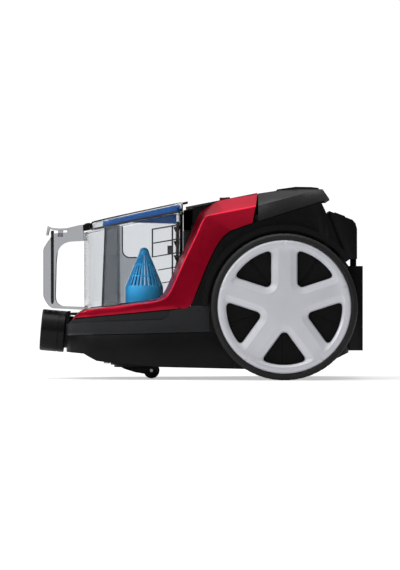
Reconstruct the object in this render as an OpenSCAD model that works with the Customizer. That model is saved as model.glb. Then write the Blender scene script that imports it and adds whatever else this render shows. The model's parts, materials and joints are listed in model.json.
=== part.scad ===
// Bagless canister vacuum cleaner: two large rear wheels, a swivelling front caster, a clear dust bucket
// with its own handle and lid, a hose socket in the nose, and the motor, filters and cord reel inside.
// Frame: X runs from the nose (-X) to the tail (+X), Y across, Z up, floor at Z = 0. Millimetres.

/* [Body] */
// Half of the body's width between the wheels
half_w = 104; // [102:0.5:105]
// X of the flat nose, behind the hose socket
nose_x = -170; // [-171:0.5:-169]
// X of the tail of the shell
tail_x = 188; // [187:0.5:188.5]
// Wall thickness of the moulded shells
wall = 3; // [2.4:0.2:3.2]

/* [Rear wheels] */
// Radius over the tyre
wheel_r = 92; // [90:0.5:93]
// X of the axle
wheel_x = 105.5; // [104:0.5:107]
// Distance from the centre plane to the outer face of the hubcap
wheel_out = 140.5; // [139:0.5:142]
// Radius of the stub axle
axle_r = 6; // [5:0.5:6.5]
// Number of spokes of the hubcap
spokes = 5; // [5:1:6]

/* [Front caster] */
// X of the swivel axis
swivel_x = -80; // [-81:0.5:-79]
// Distance that the roller trails behind the swivel axis
trail = 18; // [16:0.5:19]
// Radius of the roller
roller_r = 10.2; // [9.5:0.1:10.2]

/* [Hose socket] */
// Inner radius that the hose end slides into
socket_r = 18.5; // [17.5:0.5:19]
// Outer radius of the collar
collar_r = 26.4; // [25.5:0.1:26.4]
// Upward tilt of the socket's axis, in degrees
socket_tilt = 5; // [4:0.5:6]

/* [Dust bucket] */
// Half of the bucket's width
bucket_half = 66; // [64:0.5:66.5]
// Thickness of the clear wall
clear_wall = 2.6; // [2:0.2:3]
// Number of slots round the cyclone cone
cone_slots = 16; // [12:2:20]

/* [Hidden] */
$fn = 72;
gap = 0.3;            // clearance between neighbouring mouldings
run = 0.05;           // radial clearance of a shaft that turns
round_n = 9;          // steps in each rounded corner of a plan outline

// Plan outline of the body: a quarter ellipse at each nose corner and each tail corner
nose_half = 44;
taper_x = -60;
round_x = 150;
tail_half = 80;

// Seam between the bottom shell and what stands on it
function seam_z(x) = 59.2 + 0.0245 * x;
// Rim plane of the bucket, and top plane of its lid
rim_slope = 0.203;
function rim_z(x) = 186.5 + rim_slope * (x + 148);
function lid_top(x) = 198 + 0.213 * (x + 148);
// Top of the deck between the trims
function deck_z(x) = 221.8 + 0.195 * x;

bucket_nose = -148;
bucket_straight = -88;
bucket_tail = -22;
bucket_corner = 12;
floor_z = 85;         // underside of the bucket
cone_x = -71.5;       // axis of the cyclone cone
riser_x = -113.6;     // middle of the riser duct
riser_r = 10.2;       // half of its depth
riser_y = 3;          // half of the straight between its rounded sides
hinge_x = -144;       // lid hinge
hinge_z = 194.5;
lid_front = -138.5;
lid_rear = -20.5;
socket_p = [-171.1, 0, 59.6];  // a point on the socket's axis, at the collar's back face
motor_y = -38;
motor_z = 92;
reel_x = 112;
reel_z = 110;
reel_r = 66;
lever_p = [-178.5, 183.5];     // release lever pivot, X and Z
pedal_x = 100;                 // pedal hinge line
pedal_z = 236.5;
brake_p = [139.5, 190];        // brake lever pivot
rod_x = 122.5;                 // push rod under the rewind pedal
rod_y = 46;
door_p = [196, 154.5];         // exhaust door hinge

// ---- helpers ----

// A side profile (points in X and Z) extruded across the whole part
module side_cut(pts, w = 420) {
    rotate([90, 0, 0]) linear_extrude(height = w, center = true) polygon(pts);
}

// A side profile extruded between two Y values
module side_slab(pts, y0, y1) {
    translate([0, y1, 0]) rotate([90, 0, 0]) linear_extrude(height = y1 - y0) polygon(pts);
}

// Children drawn along local Z, laid along +Y from (x, y, z)
module along_y(x, y, z) {
    translate([x, y, z]) rotate([-90, 0, 0]) children();
}

// Children drawn along local Z, laid along +X from (x, y, z)
module along_x(x, y, z) {
    translate([x, y, z]) rotate([0, 90, 0]) children();
}

// Children drawn along local Z, laid along the hose socket's axis, towards the mouth
module along_socket() {
    translate(socket_p) rotate([0, -90 + socket_tilt, 0]) children();
}

// Upright bar with round sides, at the riser duct
module riser_bar(r, z0, z1) {
    for (s = [-1, 1]) translate([riser_x, s * riser_y, z0]) cylinder(r = r, h = z1 - z0);
    translate([riser_x - r, -riser_y, z0]) cube([2 * r, 2 * riser_y, z1 - z0]);
}

module pipe(r_out, r_in, h) {
    difference() {
        cylinder(r = r_out, h = h);
        translate([0, 0, -1]) cylinder(r = r_in, h = h + 2);
    }
}

// Builds the +Y side's piece (side = 1) or its mirror image (side = -1)
module on_side(side) {
    if (side > 0) children();
    else mirror([0, 1, 0]) children();
}

function flip_y(pts) = [for (i = [len(pts) - 1:-1:0]) [pts[i][0], -pts[i][1]]];
function both_sides(half) = concat(half, flip_y(half));

// Half of the body's plan outline, inset by t, from the nose to the tail
function body_half(t) = concat(
    [for (i = [0:round_n]) let (a = 90 * i / round_n)
        [taper_x - (taper_x - nose_x - t) * cos(a), nose_half + (half_w - nose_half - t) * sin(a)]],
    [for (i = [0:round_n]) let (a = 90 * i / round_n)
        [round_x + (tail_x - round_x - t) * sin(a), tail_half + (half_w - tail_half - t) * cos(a)]]);

// Half of the bucket's plan outline, inset by t: half an ellipse in front, small corners behind
function bucket_half_outline(t) = concat(
    [for (i = [0:2 * round_n]) let (a = 90 * i / (2 * round_n))
        [bucket_straight - (bucket_straight - bucket_nose - t) * cos(a), (bucket_half - t) * sin(a)]],
    [for (i = [0:4]) let (a = 90 * i / 4, r = bucket_corner - t)
        [bucket_tail - bucket_corner + r * sin(a), bucket_half - bucket_corner + r * cos(a)]]);

module body_plan(t) {
    polygon(both_sides(body_half(t)));
}

module bucket_plan(t) {
    half = bucket_half_outline(t);
    polygon(concat(half, [for (i = [len(half) - 1:-1:1]) [half[i][0], -half[i][1]]]));
}

module body_block(t, h = 260) {
    linear_extrude(height = h) body_plan(t);
}

module bucket_block(t, z0, z1) {
    translate([0, 0, z0]) linear_extrude(height = z1 - z0) bucket_plan(t);
}

// A strip swept through sections; each section is a closed loop whose i-th point faces its (n-1-i)-th
module strip(sections) {
    n = len(sections[0]);
    m = len(sections);
    pts = [for (s = sections) each s];
    sides = [for (j = [0:m - 2], i = [0:n - 1]) let (a = j * n + i, b = j * n + (i + 1) % n)
        each [[a, b, b + n], [a, b + n, a + n]]];
    cap0 = [for (i = [0:n / 2 - 2]) each [[i, n - 2 - i, i + 1], [i, n - 1 - i, n - 2 - i]]];
    last = (m - 1) * n;
    cap1 = [for (f = cap0) [last + f[0], last + f[2], last + f[1]]];
    polyhedron(pts, concat(sides, cap0, cap1));
}

// ---- casings ----

belly = [[nose_x, 34.5], [-147, 32.6], [-139.4, 28.2], [-130.5, 23.7], [-111.5, 21.2], [-50.7, 16.1],
    [57, 13.6], [150, 16], [178, 29.8], [tail_x, 34.5]];
screw_spots = [[-118, 72], [-20, 88], [164, 62]];

module screw_posts(r_out, r_in, z0, z1) {
    for (p = screw_spots, s = [-1, 1])
        translate([p[0], s * p[1], z0]) pipe(r_out, r_in, z1 - z0);
}

module bottom_shell() {
    color([0.07, 0.07, 0.075])
    difference() {
        union() {
            difference() {
                intersection() {
                    body_block(gap);
                    side_cut(concat(belly, [[tail_x, seam_z(tail_x)], [nose_x, seam_z(nose_x)]]));
                }
                intersection() {
                    body_block(gap + wall);
                    side_cut(concat([for (p = belly) [p[0], p[1] + wall]], [[tail_x, 120], [nose_x, 120]]));
                }
            }
            // nose plate round the hose socket
            translate([nose_x + gap, -nose_half, 50]) cube([wall, 2 * nose_half, 36]);
            // ceiling and wall of the caster well, and the swivel bearing
            translate([swivel_x, 0, 17.5]) cylinder(r = 34.5, h = 9.8);
            translate([swivel_x, 0, 26]) cylinder(r = 9, h = 11);
            intersection() {
                screw_posts(5.5, 2.3, 15, 38);
                side_cut(concat([for (p = belly) [p[0], p[1] + 0.5]], [[tail_x, 90], [nose_x, 90]]));
            }
        }
        translate([swivel_x, 0, -1]) cylinder(r = 32, h = 25.3);
        translate([swivel_x, 0, 20]) cylinder(r = 5 + run, h = 20);
        along_socket() translate([0, 0, -20]) cylinder(r = 21, h = 40);
        for (p = screw_spots, s = [-1, 1]) {
            translate([p[0], s * p[1], 0]) cylinder(r = 2.3, h = 45);
            translate([p[0], s * p[1], 0]) cylinder(r = 4.4, h = p[0] < 100 ? 23 : 27);
        }
    }
}

// Outer edge of the housing where it shows: under the trim and the cover, behind the side panel
shown_side = [[-12.5, 93.6], [-2.5, 112], [10, 143.3], [20, 164.7], [28.7, 177.6], [38.5, 186.4],
    [46, 189.1], [65.4, 196.2], [88, 203.9], [113.3, 211.4], [132, 217.7], [152.5, 223.8], [157.3, 213.8],
    [183.8, 148.3], [tail_x, 143], [tail_x, seam_z(tail_x) + 0.2], [12, seam_z(12) + 0.2], [12, 93.6]];
shown_side_in = [[-6, 96.6], [1, 112], [13.2, 142], [23, 163], [31, 174.8], [40, 183.3], [47, 186],
    [66.3, 193], [89, 200.8], [114.2, 208.3], [133, 214.6], [151, 220], [154.5, 212.7], [180.8, 147.7],
    [tail_x - wall - gap, 142], [tail_x - wall - gap, 50], [15, 50], [15, 96.6]];
// The inset part behind the trim and the cover
hidden_side = [[-36, 93.6], [-30, 113], [-20.7, 133], [-10.6, 156], [2, 182], [9, 193], [16, 197],
    [80, 209], [130, 219], [152.5, 223], [157.3, 213.8], [183.8, 148.3], [183.8, 66], [14, 66], [14, 93.6]];
hidden_side_in = [[-31, 96.6], [-26.5, 112], [-17.5, 132], [-7.4, 155], [5.2, 181], [11.5, 190.5],
    [17, 194], [80, 206], [130, 216], [151, 220], [154.5, 212.7], [180.8, 147.7], [180.8, 50], [17, 50],
    [17, 96.6]];
// The raised middle under the deck and the cover
raised = [[-8, 190], [-8, deck_z(-8) - 3.4], [72, deck_z(72) - 3.4], [92, 226], [148, 226], [153, 222],
    [153, 205]];
raised_in = [[-5, 180], [-5, deck_z(-5) - 6.4], [72, deck_z(72) - 6.4], [92, 223], [147, 223], [150, 219],
    [150, 195]];

reel_plate = [[64, 62], [182, 62], [182, 147], [154.5, 213.5], [128, 217], [80, 207], [64, 203.6]];

// Arch over the rear wheel
arch_in = 96;
arch_out = 103;
module wheel_arch() {
    intersection() {
        difference() {
            along_y(wheel_x, half_w - 2, wheel_r) cylinder(r = arch_out, h = 22, $fn = 120);
            along_y(wheel_x, half_w - 3, wheel_r) cylinder(r = arch_in, h = 24, $fn = 120);
        }
        side_cut([[wheel_x, wheel_r], [-20, wheel_r + 1.8], [-20, 240], [wheel_x + 160, 240],
            [wheel_x + 160, wheel_r + 116]]);
    }
}

module main_housing() {
    color([0.08, 0.08, 0.085])
    difference() {
        union() {
            difference() {
                union() {
                    intersection() {
                        body_block(gap);
                        side_cut(shown_side);
                    }
                    intersection() {
                        body_block(8);
                        side_cut(hidden_side);
                    }
                    side_slab(raised, -67, 67);
                }
                intersection() {
                    body_block(gap + wall);
                    side_cut(shown_side_in);
                }
                intersection() {
                    body_block(11);
                    side_cut(hidden_side_in);
                }
                side_slab(raised_in, -64, 64);
                // space for the bucket between the arms
                translate([-60, -71.5, 80]) cube([48.5, 143, 180]);
                translate([-12, -71.5, 96.6]) cube([22, 143, 92]);
            }
            for (s = [-1, 1]) on_side(s) {
                wheel_arch();
                along_y(wheel_x, 92, wheel_r) cylinder(r = 14, h = 18);
            }
            // front wall between the arms, and the arms' inner cheeks
            translate([-11.5, -71.5, 84.5]) cube([wall, 143, 110]);
            // cheeks beside the filter, between the bucket and the deck
            for (s = [-1, 1]) on_side(s)
                side_slab([[-20.2, 186], [-9.5, 186], [-9.5, 214.6], [-18, 212.6], [-20.2, 211.6]], 50.3, 66);
            for (s = [-1, 1]) on_side(s) side_slab([for (p = hidden_side) if (p[0] < 12) p], 71.5, 74);
            // plate that carries the cord reel, and the pivot of its brake
            side_slab(reel_plate, 15, 18.7);
            along_y(brake_p[0], 18, brake_p[1]) cylinder(r = 2, h = 40);
            for (s = [-1, 1]) on_side(s) {
                translate([164, 62, 38.4]) pipe(5, 2, 28);
                translate([165.6, 66.5, 64]) cube([2, 36, 6]);
            }
        }
        for (s = [-1, 1]) on_side(s) along_y(wheel_x, 80, wheel_r) cylinder(r = axle_r + 0.02, h = 40);
        // window for the filter frame, and the exhaust window behind
        translate([-20, -50, 99]) cube([20, 100, 92]);
        translate([150, -48, 158]) cube([40, 60, 40]);
        translate([150, 22, 158]) cube([40, 26, 40]);
        // holes for the rewind pedal's push rod
        translate([rod_x, rod_y, 221]) cylinder(r = 3.4, h = 10);
        translate([rod_x - 1, rod_y, 205]) cylinder(r = 5, h = 16);
    }
}

module cradle() {
    color([0.09, 0.09, 0.095])
    difference() {
        union() {
            intersection() {
                translate([0, 0, 81]) linear_extrude(height = 3) body_plan(3.7);
                union() {
                    translate([-148, -110, 70]) cube([135.5, 220, 30]);
                    translate([-166, -60, 70]) cube([19, 120, 30]);
                }
            }
            intersection() {
                difference() {
                    bucket_block(-3.4, 83.5, 130);
                    bucket_block(-1.2, 80, 140);
                }
                side_cut([[-160, 80], [-160, 86.8], [-147, 86.8], [-144, 89.5], [-61, 101], [-14, 101], [-14, 80]]);
            }
            for (p = [screw_spots[0], screw_spots[1]], s = [-1, 1])
                translate([p[0], s * p[1], 38.4]) pipe(5, 2, 43);
        }
        riser_bar(riser_r + 2.6, 70, 100);
        translate([cone_x, 0, 70]) cylinder(r = 14, h = 30);
        translate([-21.6, -50, 84.2]) cube([21.6, 100, 30]);
    }
}

panel_side = [[-167, seam_z(-167) + 0.2], [-165, 76.6], [-158, 76.8], [-35, 88.4], [-14.6, 91], [-12.2, 93.3], [11.7, 93.3],
    [11.7, seam_z(11.7) + 0.2]];
module side_panel(side) {
    color([0.2, 0.21, 0.22])
    on_side(side)
    intersection() {
        difference() {
            body_block(0);
            translate([0, 0, -1]) body_block(wall);
        }
        side_cut(panel_side);
        translate([-200, nose_half + gap, 0]) cube([400, 100, 200]);
    }
}

// Red trim: front edge A, crease B, back edge C of its band, as X, Y and Z
trim_a = [[-160.8, 66, 78.2], [-154.4, 64, 84.6], [-145.6, 62, 89], [-113.9, 68, 92.8], [-82.3, 71, 97.2],
    [-60.8, 72, 101], [-50.6, 72, 104.8], [-44.3, 72, 112.4], [-35.4, 72, 132.1], [-25.3, 72, 154.2],
    [-12.7, 72, 182.7], [-2.5, 72, 206.7], [2.5, 72, 213.2], [10.1, 72, 218.4], [24.1, 71.5, 226],
    [72.6, 71, 234.9]];
trim_b = [[-159.3, 68.6, 77.9], [-152.4, 76, 84], [-143.5, 82.5, 87.7], [-112.1, 96.5, 91.7],
    [-80.6, 103, 95.9], [-56.7, 104.2, 98.9], [-44.1, 104, 103.9], [-37.1, 103.6, 113.1],
    [-27.7, 103, 133.3], [-17.6, 102, 155.9], [-5, 101, 182.4], [4.4, 100, 203.1], [8.8, 99.6, 206.7],
    [17.6, 99.3, 208.6], [35.3, 99, 211.9], [70.2, 99, 218.9]];
trim_c = [[-158.5, 69.8, 77.5], [-148.5, 79.3, 78.3], [-135.9, 87.2, 79.4], [-107, 98.6, 82.2],
    [-75.5, 104, 85.1], [-50.3, 104.7, 87.5], [-30.2, 105, 89.5], [-13.8, 105, 91.8], [-3.8, 105, 111.9],
    [8.8, 105, 143.3], [18.9, 105, 164.7], [27.7, 105, 178], [37.7, 105, 186.9], [45.3, 105, 189.6],
    [54.1, 105, 193], [65.6, 105, 196.9]];
function trim_inner(i, k) = let (d = [trim_c[i][0] - trim_a[i][0], 0, trim_c[i][2] - trim_a[i][2]],
    u = d / norm(d)) k * u;
function trim_section(i) = [trim_a[i], trim_b[i], trim_c[i], trim_c[i] - [0, 2.4, 0],
    trim_b[i] - [0, 2.4, 0] + trim_inner(i, 1.6), trim_a[i] + trim_inner(i, 2.6)];
module trim(side) {
    color([0.55, 0.02, 0.06])
    on_side(side) strip([for (i = [0:len(trim_a) - 1]) trim_section(i)]);
}

module top_deck() {
    color([0.05, 0.05, 0.055])
    difference() {
        side_slab([[-18, deck_z(-18)], [-18, deck_z(-18) - 2.6], [72.6, deck_z(72.6) - 3], [72.6, deck_z(72.6)]],
            -70.4, 70.4);
        translate([22, -3.5, 210]) cube([47, 7, 40]);
    }
}

slider_axis = [0.9815, 0, 0.1914];
module power_slider() {
    color([0.45, 0.03, 0.06]) {
        side_slab([[25, deck_z(25) + 0.3], [38.5, deck_z(38.5) + 0.3], [38, deck_z(38) + 2.8],
            [31, deck_z(31) + 3.4], [25, deck_z(25) + 4.6]], -9, 9);
        side_slab([[27, deck_z(27) - 2.8], [36, deck_z(36) - 2.8], [36, deck_z(36) + 0.6],
            [27, deck_z(27) + 0.6]], -2.8, 2.8);
    }
}

// Rear cover: X, then half width and height of the flat top's edge, of the crease and of the lower edge
cover_rows = [[73.4, 235.9, 71, 235.2, 99, 219.5, 105, 199.6], [96, 240.2, 69, 238.6, 99, 225.4, 105, 206.9],
    [121.2, 243.2, 66, 240.8, 98, 232, 105, 214.9], [141, 242.9, 62, 241.6, 96, 237.6, 104, 221],
    [155.6, 241.6, 58, 240.8, 92, 238, 101, 225.5], [163, 229, 56, 228.8, 88, 228.4, 98, 226.4]];
function cover_outer(r) = [[r[0], 0, r[1]], [r[0], r[2], r[3]], [r[0], r[4], r[5]], [r[0], r[6], r[7]]];
function cover_inner(r) = [[r[0], r[6] - 2.6, r[7]], [r[0], r[4] - 2.4, r[5] - 2.6], [r[0], r[2] - 1, r[3] - 2.8],
    [r[0], 0, r[1] - 2.8]];
module rear_cover() {
    color([0.13, 0.13, 0.14])
    union() {
            for (s = [-1, 1]) on_side(s) difference() {
                strip([for (r = cover_rows) concat(cover_outer(r), cover_inner(r))]);
                translate([97, 7.1, 222]) cube([54, 55.8, 40]);
            }
            // ears and pins of the two pedals
            for (s = [-1, 1]) on_side(s) {
                for (y = [4, 63]) translate([97, y, 234]) cube([6, 3.4, 5]);
                along_y(pedal_x, 4, pedal_z) cylinder(r = 1.5, h = 62);
            }
    }
}

pedal_side = [[97.6, 240.6], [121.2, 243.9], [141, 243.6], [150.4, 242.4], [150.4, 236.6], [146, 236],
    [141, 239.4], [121.2, 239.8], [104, 237.4], [104, 234.2], [97.6, 234.2]];
module pedal(side) {
    color([0.16, 0.16, 0.17])
    on_side(side)
    difference() {
        union() {
            side_slab(pedal_side, 7.6, 62.4);
            translate([134, 35, 233.5]) cylinder(r = 5, h = 7);
            if (side > 0) translate([rod_x, rod_y, 199.2]) cylinder(r = 2, h = 42);
        }
        along_y(pedal_x, 0, pedal_z) cylinder(r = 1.5 + run, h = 80);
    }
}

// Helical spring: a round wire swept up a helix, seated between two heights
function coil_pt(a, r, h, t) = [r * cos(a), r * sin(a), h * a / (360 * t)];
module coil_spring(r, wire, h, turns) {
    steps = turns * 14;
    pts = [for (i = [0:steps], k = [0:5]) let (a = 360 * i / 14, b = 60 * k, c = coil_pt(a, r, h, turns))
        [c[0] + wire * cos(b) * cos(a), c[1] + wire * cos(b) * sin(a), c[2] + wire * sin(b)]];
    sides = [for (i = [0:steps - 1], k = [0:5]) let (a = i * 6 + k, b = i * 6 + (k + 1) % 6)
        each [[a, a + 6, b + 6], [a, b + 6, b]]];
    polyhedron(pts, concat([[0, 1, 2, 3, 4, 5]], [[for (k = [5:-1:0]) steps * 6 + k]], sides));
}
module pedal_spring(side) {
    color([0.6, 0.6, 0.62])
    translate([134, side * 35, 226.7]) coil_spring(3.6, 0.45, 6, 4);
}

// ---- tail ----

door_out = [[163.6, 213.2], [193.3, 202], [197.1, 197.6], [199, 190.6], [199, 152.4], [186.5, 152.4]];
door_in = [[160, 211.5], [191.8, 199.4], [194.6, 196.2], [196.4, 190.2], [196.4, 155], [191.5, 150],
    [180, 150]];
module exhaust_door() {
    color([0.1, 0.1, 0.105])
    difference() {
        union() {
            difference() {
                side_slab(door_out, -64, 64);
                side_slab(door_in, -61.4, 61.4);
            }
            for (y = [-40, 31.8]) along_y(door_p[0], y, door_p[1]) cylinder(r = 2.5, h = 8.2);
        }
        for (i = [0:7]) translate([190, -50, 161 + 4.2 * i]) cube([20, 100, 2.2]);
        for (s = [-1, 1], y = [27, 40.3]) translate([185, s * (y + 2.25) - 2.25, 150]) cube([20, 4.5, 9]);
        // seat of the latch button
        translate([178, 0, 207.6]) rotate([0, 20.8, 0]) cube([15, 25, 14], center = true);
        for (y = [-41, 31]) along_y(door_p[0], y, door_p[1]) cylinder(r = 1.2 + run, h = 10);
    }
}

module door_latch() {
    color([0.16, 0.16, 0.17])
    translate([178, 0, 207.6]) rotate([0, 20.8, 0]) translate([0, 0, -0.5]) cube([14.2, 24.2, 6], center = true);
}

module exhaust_filter() {
    color([0.9, 0.9, 0.86])
    translate([180.2, 0, 177.5]) rotate([0, -22, 0]) union() {
        difference() {
            cube([12, 104, 40], center = true);
            cube([20, 96, 33], center = true);
        }
        for (i = [-10:10]) translate([0, 4.5 * i, 0]) cube([10, 2.2, 33.4], center = true);
    }
}

module rear_dock() {
    color([0.08, 0.08, 0.085])
    difference() {
        union() {
            translate([tail_x + gap, -70, 36.5]) cube([206 - tail_x - gap, 140, 107]);
            // ears and pins of the exhaust door
            for (s = [-1, 1]) on_side(s) {
                for (y = [27.4, 40.7]) translate([193.4, y, 143]) cube([5.2, 3.7, 14]);
                along_y(door_p[0], 27.4, door_p[1]) cylinder(r = 1.2, h = 17);
            }
        }
        translate([tail_x + 3, -67, 39.5]) cube([206 - tail_x - 6, 134, 101]);
        // parking slot: open towards the back and the top
        translate([196, -11, 60]) cube([20, 22, 100]);
        along_x(180, 48, 118) cylinder(r = 9.1, h = 40);
    }
}

module cord_outlet() {
    color([0.04, 0.04, 0.04])
    along_x(203, 48, 118)
    rotate_extrude() polygon([[5, 3], [5, 0.6], [6.5, 0], [9, 0], [9, 3]]);
}

// ---- hose inlet ----

module inlet_collar() {
    color([0.08, 0.08, 0.085])
    along_socket()
    rotate_extrude() polygon([[socket_r, 1.4], [collar_r, 1.4], [collar_r, 31.9], [collar_r - 1, 32.3],
        [socket_r + 1.5, 32.3], [socket_r, 31]]);
}

module inlet_seal() {
    color([0.03, 0.03, 0.03])
    along_socket() translate([0, 0, -1]) pipe(20.6, socket_r + 0.4, 2.2);
}

module inlet_duct() {
    color([0.15, 0.15, 0.16])
    difference() {
        union() {
            along_socket() translate([0, 0, -60]) cylinder(r = 20.5, h = 58.8);
            translate([riser_x, 0, 54.4]) sphere(r = 20.5);
            riser_bar(riser_r + 2.2, 54, floor_z - 0.2);
        }
        along_socket() translate([0, 0, -60]) cylinder(r = socket_r, h = 62);
        translate([riser_x, 0, 54.4]) sphere(r = socket_r);
        riser_bar(riser_r, 54, 90);
    }
}

// ---- filters ----

module filter_frame() {
    color([0.12, 0.12, 0.13])
    union() {
        // collar that meets the bucket's outlet
        difference() {
            translate([-21.4, -49, 100]) cube([9, 98, 88]);
            translate([-30, -45.5, 103.5]) cube([30, 91, 81]);
        }
        difference() {
            translate([-13, -49.5, 99.5]) cube([18, 99, 91]);
            translate([-10, -47, 102]) cube([20, 94, 86]);
            translate([-20, -44, 105]) cube([20, 88, 80]);
        }
        for (i = [0:4]) translate([-12.8, -44.5, 112 + 15 * i]) rotate([0, -10, 0]) cube([2.6, 89, 1.8]);
        for (y = [-22, 0, 22]) translate([-12.4, y - 0.9, 104.5]) cube([2, 1.8, 81]);
    }
}

module foam_filter() {
    color([0.75, 0.75, 0.72])
    translate([-9, -46.7, 102.3]) cube([13.5, 93.4, 85.4]);
}

// ---- motor and fan ----

module on_motor(x) {
    along_x(x, motor_y, motor_z) children();
}

module fan_cover() {
    color([0.7, 0.71, 0.73])
    on_motor(22)
    rotate_extrude($fn = 96) polygon([[18, 0], [52, 0], [52, 34], [44, 34], [44, 32.4], [50.4, 32.4], [50.4, 1.6],
        [18, 1.6]]);
}

module motor_frame() {
    color([0.62, 0.6, 0.55])
    difference() {
        union() {
            on_motor(56.6) pipe(43.6, 4 + run, 3.4);
            on_motor(60) pipe(43.6, 29, 3);
            on_motor(63) pipe(40, 29, 52);
            on_motor(115) pipe(34, 12, 3);
            on_motor(118) pipe(14, 4 + run, 8);
        }
        for (a = [0:60:300]) on_motor(50) rotate([0, 0, a]) translate([34.5, 0, 5]) cylinder(r = 3, h = 80);
    }
}

module impeller() {
    color([0.78, 0.79, 0.8])
    difference() {
        on_motor(27) union() {
            cylinder(r = 46, h = 1.6);
            cylinder(r = 10, h = 18);
            for (i = [0:8]) rotate([0, 0, 40 * i]) translate([20, -8, 1.2]) rotate([0, 0, 24]) cube([26, 1.4, 14]);
        }
        on_motor(20) cylinder(r = 4.01, h = 50);
    }
}

module motor_rotor() {
    color([0.55, 0.4, 0.28])
    on_motor(23) union() {
        cylinder(r = 4, h = 108);
        translate([0, 0, 44]) cylinder(r = 26, h = 36);
        translate([0, 0, 82]) cylinder(r = 10, h = 10);
    }
}

module motor_mounts() {
    color([0.05, 0.05, 0.05]) {
        on_motor(17.4) pipe(30, 19, 4.4);
        on_motor(126.2) pipe(20, 10, 6);
    }
}

// ---- cord reel ----

module on_reel(y) {
    along_y(reel_x, y, reel_z) children();
}

module reel_drum() {
    color([0.2, 0.2, 0.21])
    difference() {
        union() {
            on_reel(24) cylinder(r = reel_r, h = 2.4, $fn = 96);
            on_reel(24) cylinder(r = 26, h = 46);
            on_reel(67.6) cylinder(r = reel_r, h = 2.4, $fn = 96);
        }
        on_reel(20) cylinder(r = 5 + run, h = 60);
        on_reel(30) pipe(23, 9, 60);
        for (a = [0:60:300], y = [20, 64])
            on_reel(y) rotate([0, 0, a]) translate([46, 0, 0]) cylinder(r = 11, h = 12);
    }
}

module reel_axle() {
    color([0.7, 0.7, 0.72])
    union() {
        on_reel(19) cylinder(r = 5, h = 56);
        on_reel(19) cylinder(r = 9, h = 4);
    }
}

brake_tip = [148.6, 173.5];
module brake_lever() {
    color([0.7, 0.7, 0.68])
    difference() {
        union() {
            side_slab([[brake_p[0] - 3, brake_p[1] - 3], [brake_tip[0] - 3.5, brake_tip[1] - 2],
                [brake_tip[0] + 3, brake_tip[1] + 2.5], [brake_p[0] + 4, brake_p[1] + 2]], 52, 56);
            along_y(brake_p[0], 44, brake_p[1]) cylinder(r = 5, h = 12);
            side_slab([[brake_p[0] + 1, brake_p[1] + 4.6], [rod_x - 3, 198.8], [rod_x - 3, 196],
                [brake_p[0] - 4, brake_p[1] + 1]], 44, 48);
        }
        along_y(brake_p[0], 40, brake_p[1]) cylinder(r = 2 + run, h = 20);
        along_y(brake_tip[0], 40, brake_tip[1]) cylinder(r = 1.52, h = 20);
    }
}

module brake_roller() {
    color([0.04, 0.04, 0.04])
    union() {
        along_y(brake_tip[0], 60, brake_tip[1]) cylinder(r = 7, h = 10);
        along_y(brake_tip[0], 51, brake_tip[1]) cylinder(r = 1.5, h = 9.4);
    }
}

module control_board() {
    color([0.1, 0.35, 0.16]) {
        translate([60, -58, 184]) cube([66, 70, 1.6]);
        translate([70, -50, 185.7]) cube([16, 14, 8]);
        translate([92, -20, 185.7]) cube([10, 10, 12]);
        for (y = [-46, -36]) translate([112, y, 185.7]) cylinder(r = 4, h = 12);
        translate([104, 0, 185.7]) cube([16, 10, 9]);
    }
}

module body_screws() {
    color([0.75, 0.75, 0.77])
    for (p = screw_spots, s = [-1, 1]) translate([p[0], s * p[1], p[0] < 100 ? 20.2 : 24.2]) union() {
        cylinder(r = 3.9, h = 2.4);
        cylinder(r = 1.9, h = 36);
    }
}

// ---- dust bucket ----

rim_cut = [[-160, 80], [-160, rim_z(-160)], [0, rim_z(0)], [0, 80]];
module bucket_shell() {
    color([0.55, 0.57, 0.6, 0.4])
    difference() {
        intersection() {
            bucket_block(0, floor_z, 230);
            side_cut(rim_cut);
        }
        bucket_block(clear_wall, floor_z + clear_wall, 240);
        riser_bar(riser_r, 80, 95);
        translate([-30, -44, 104]) cube([20, 88, 80]);
    }
}

grip_out = [[-149.2, 196.8], [-153.6, 196], [-166.4, 193], [-169.4, 192.4], [-169.4, 186.5], [-187.5, 185],
    [-190.7, 180], [-198.4, 169.3], [-200.3, 165.5], [-200.3, 105.3], [-198.4, 100.2], [-193.3, 92.5],
    [-189.4, 89.4], [-148.3, 87.6], [-148.3, 186], [-139.6, rim_z(-139.6) + 0.1], [-139.6, rim_z(-139.6) + 2.2],
    [-149.2, rim_z(-149.2) + 2.2]];
grip_hole = [[-148.28, 175.9], [-167.7, 174.9], [-175.4, 172.1], [-180.5, 166.8], [-182.4, 161.6],
    [-183.8, 148.8], [-184.3, 125.8], [-185, 102.8], [-183, 96.4], [-176.6, 92.2], [-148.28, 90.8]];
module bucket_handle() {
    color([0.55, 0.57, 0.6, 0.4])
    difference() {
        union() {
            difference() {
                side_slab(grip_out, -17, 17);
                side_slab(grip_hole, -20, 20);
                intersection() {
                    bucket_block(-0.1, 60, 240);
                    side_cut([for (p = rim_cut) [p[0], p[1] < 90 ? 60 : p[1] + 0.05]]);
                }
                side_cut([[-149, 80], [-149, 100], [-100, 100], [-100, 80]]);
            }
            for (y = [-14, 8.3]) {
                along_y(hinge_x, y, hinge_z) cylinder(r = 4.6, h = 5.7);
                side_slab([[-148.6, 189.4], [-139.6, 189.6], [-139.6, hinge_z], [-148.6, hinge_z]], y, y + 5.7);
            }
        }
        // channel of the latch rod, slot of the release lever, and the pin bores
        translate([-191.2, -4.2, 80]) cube([4.6, 8.4, 120]);
        translate([-186, -7.6, 178]) cube([15, 15.2, 20]);
        along_y(lever_p[0], -20, lever_p[1]) cylinder(r = 1.52, h = 40);
        along_y(hinge_x, -20, hinge_z) cylinder(r = 1.82, h = 40);
        translate([-150, -8.3, 189.8]) cube([16, 16.6, 12]);
    }
}

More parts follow.
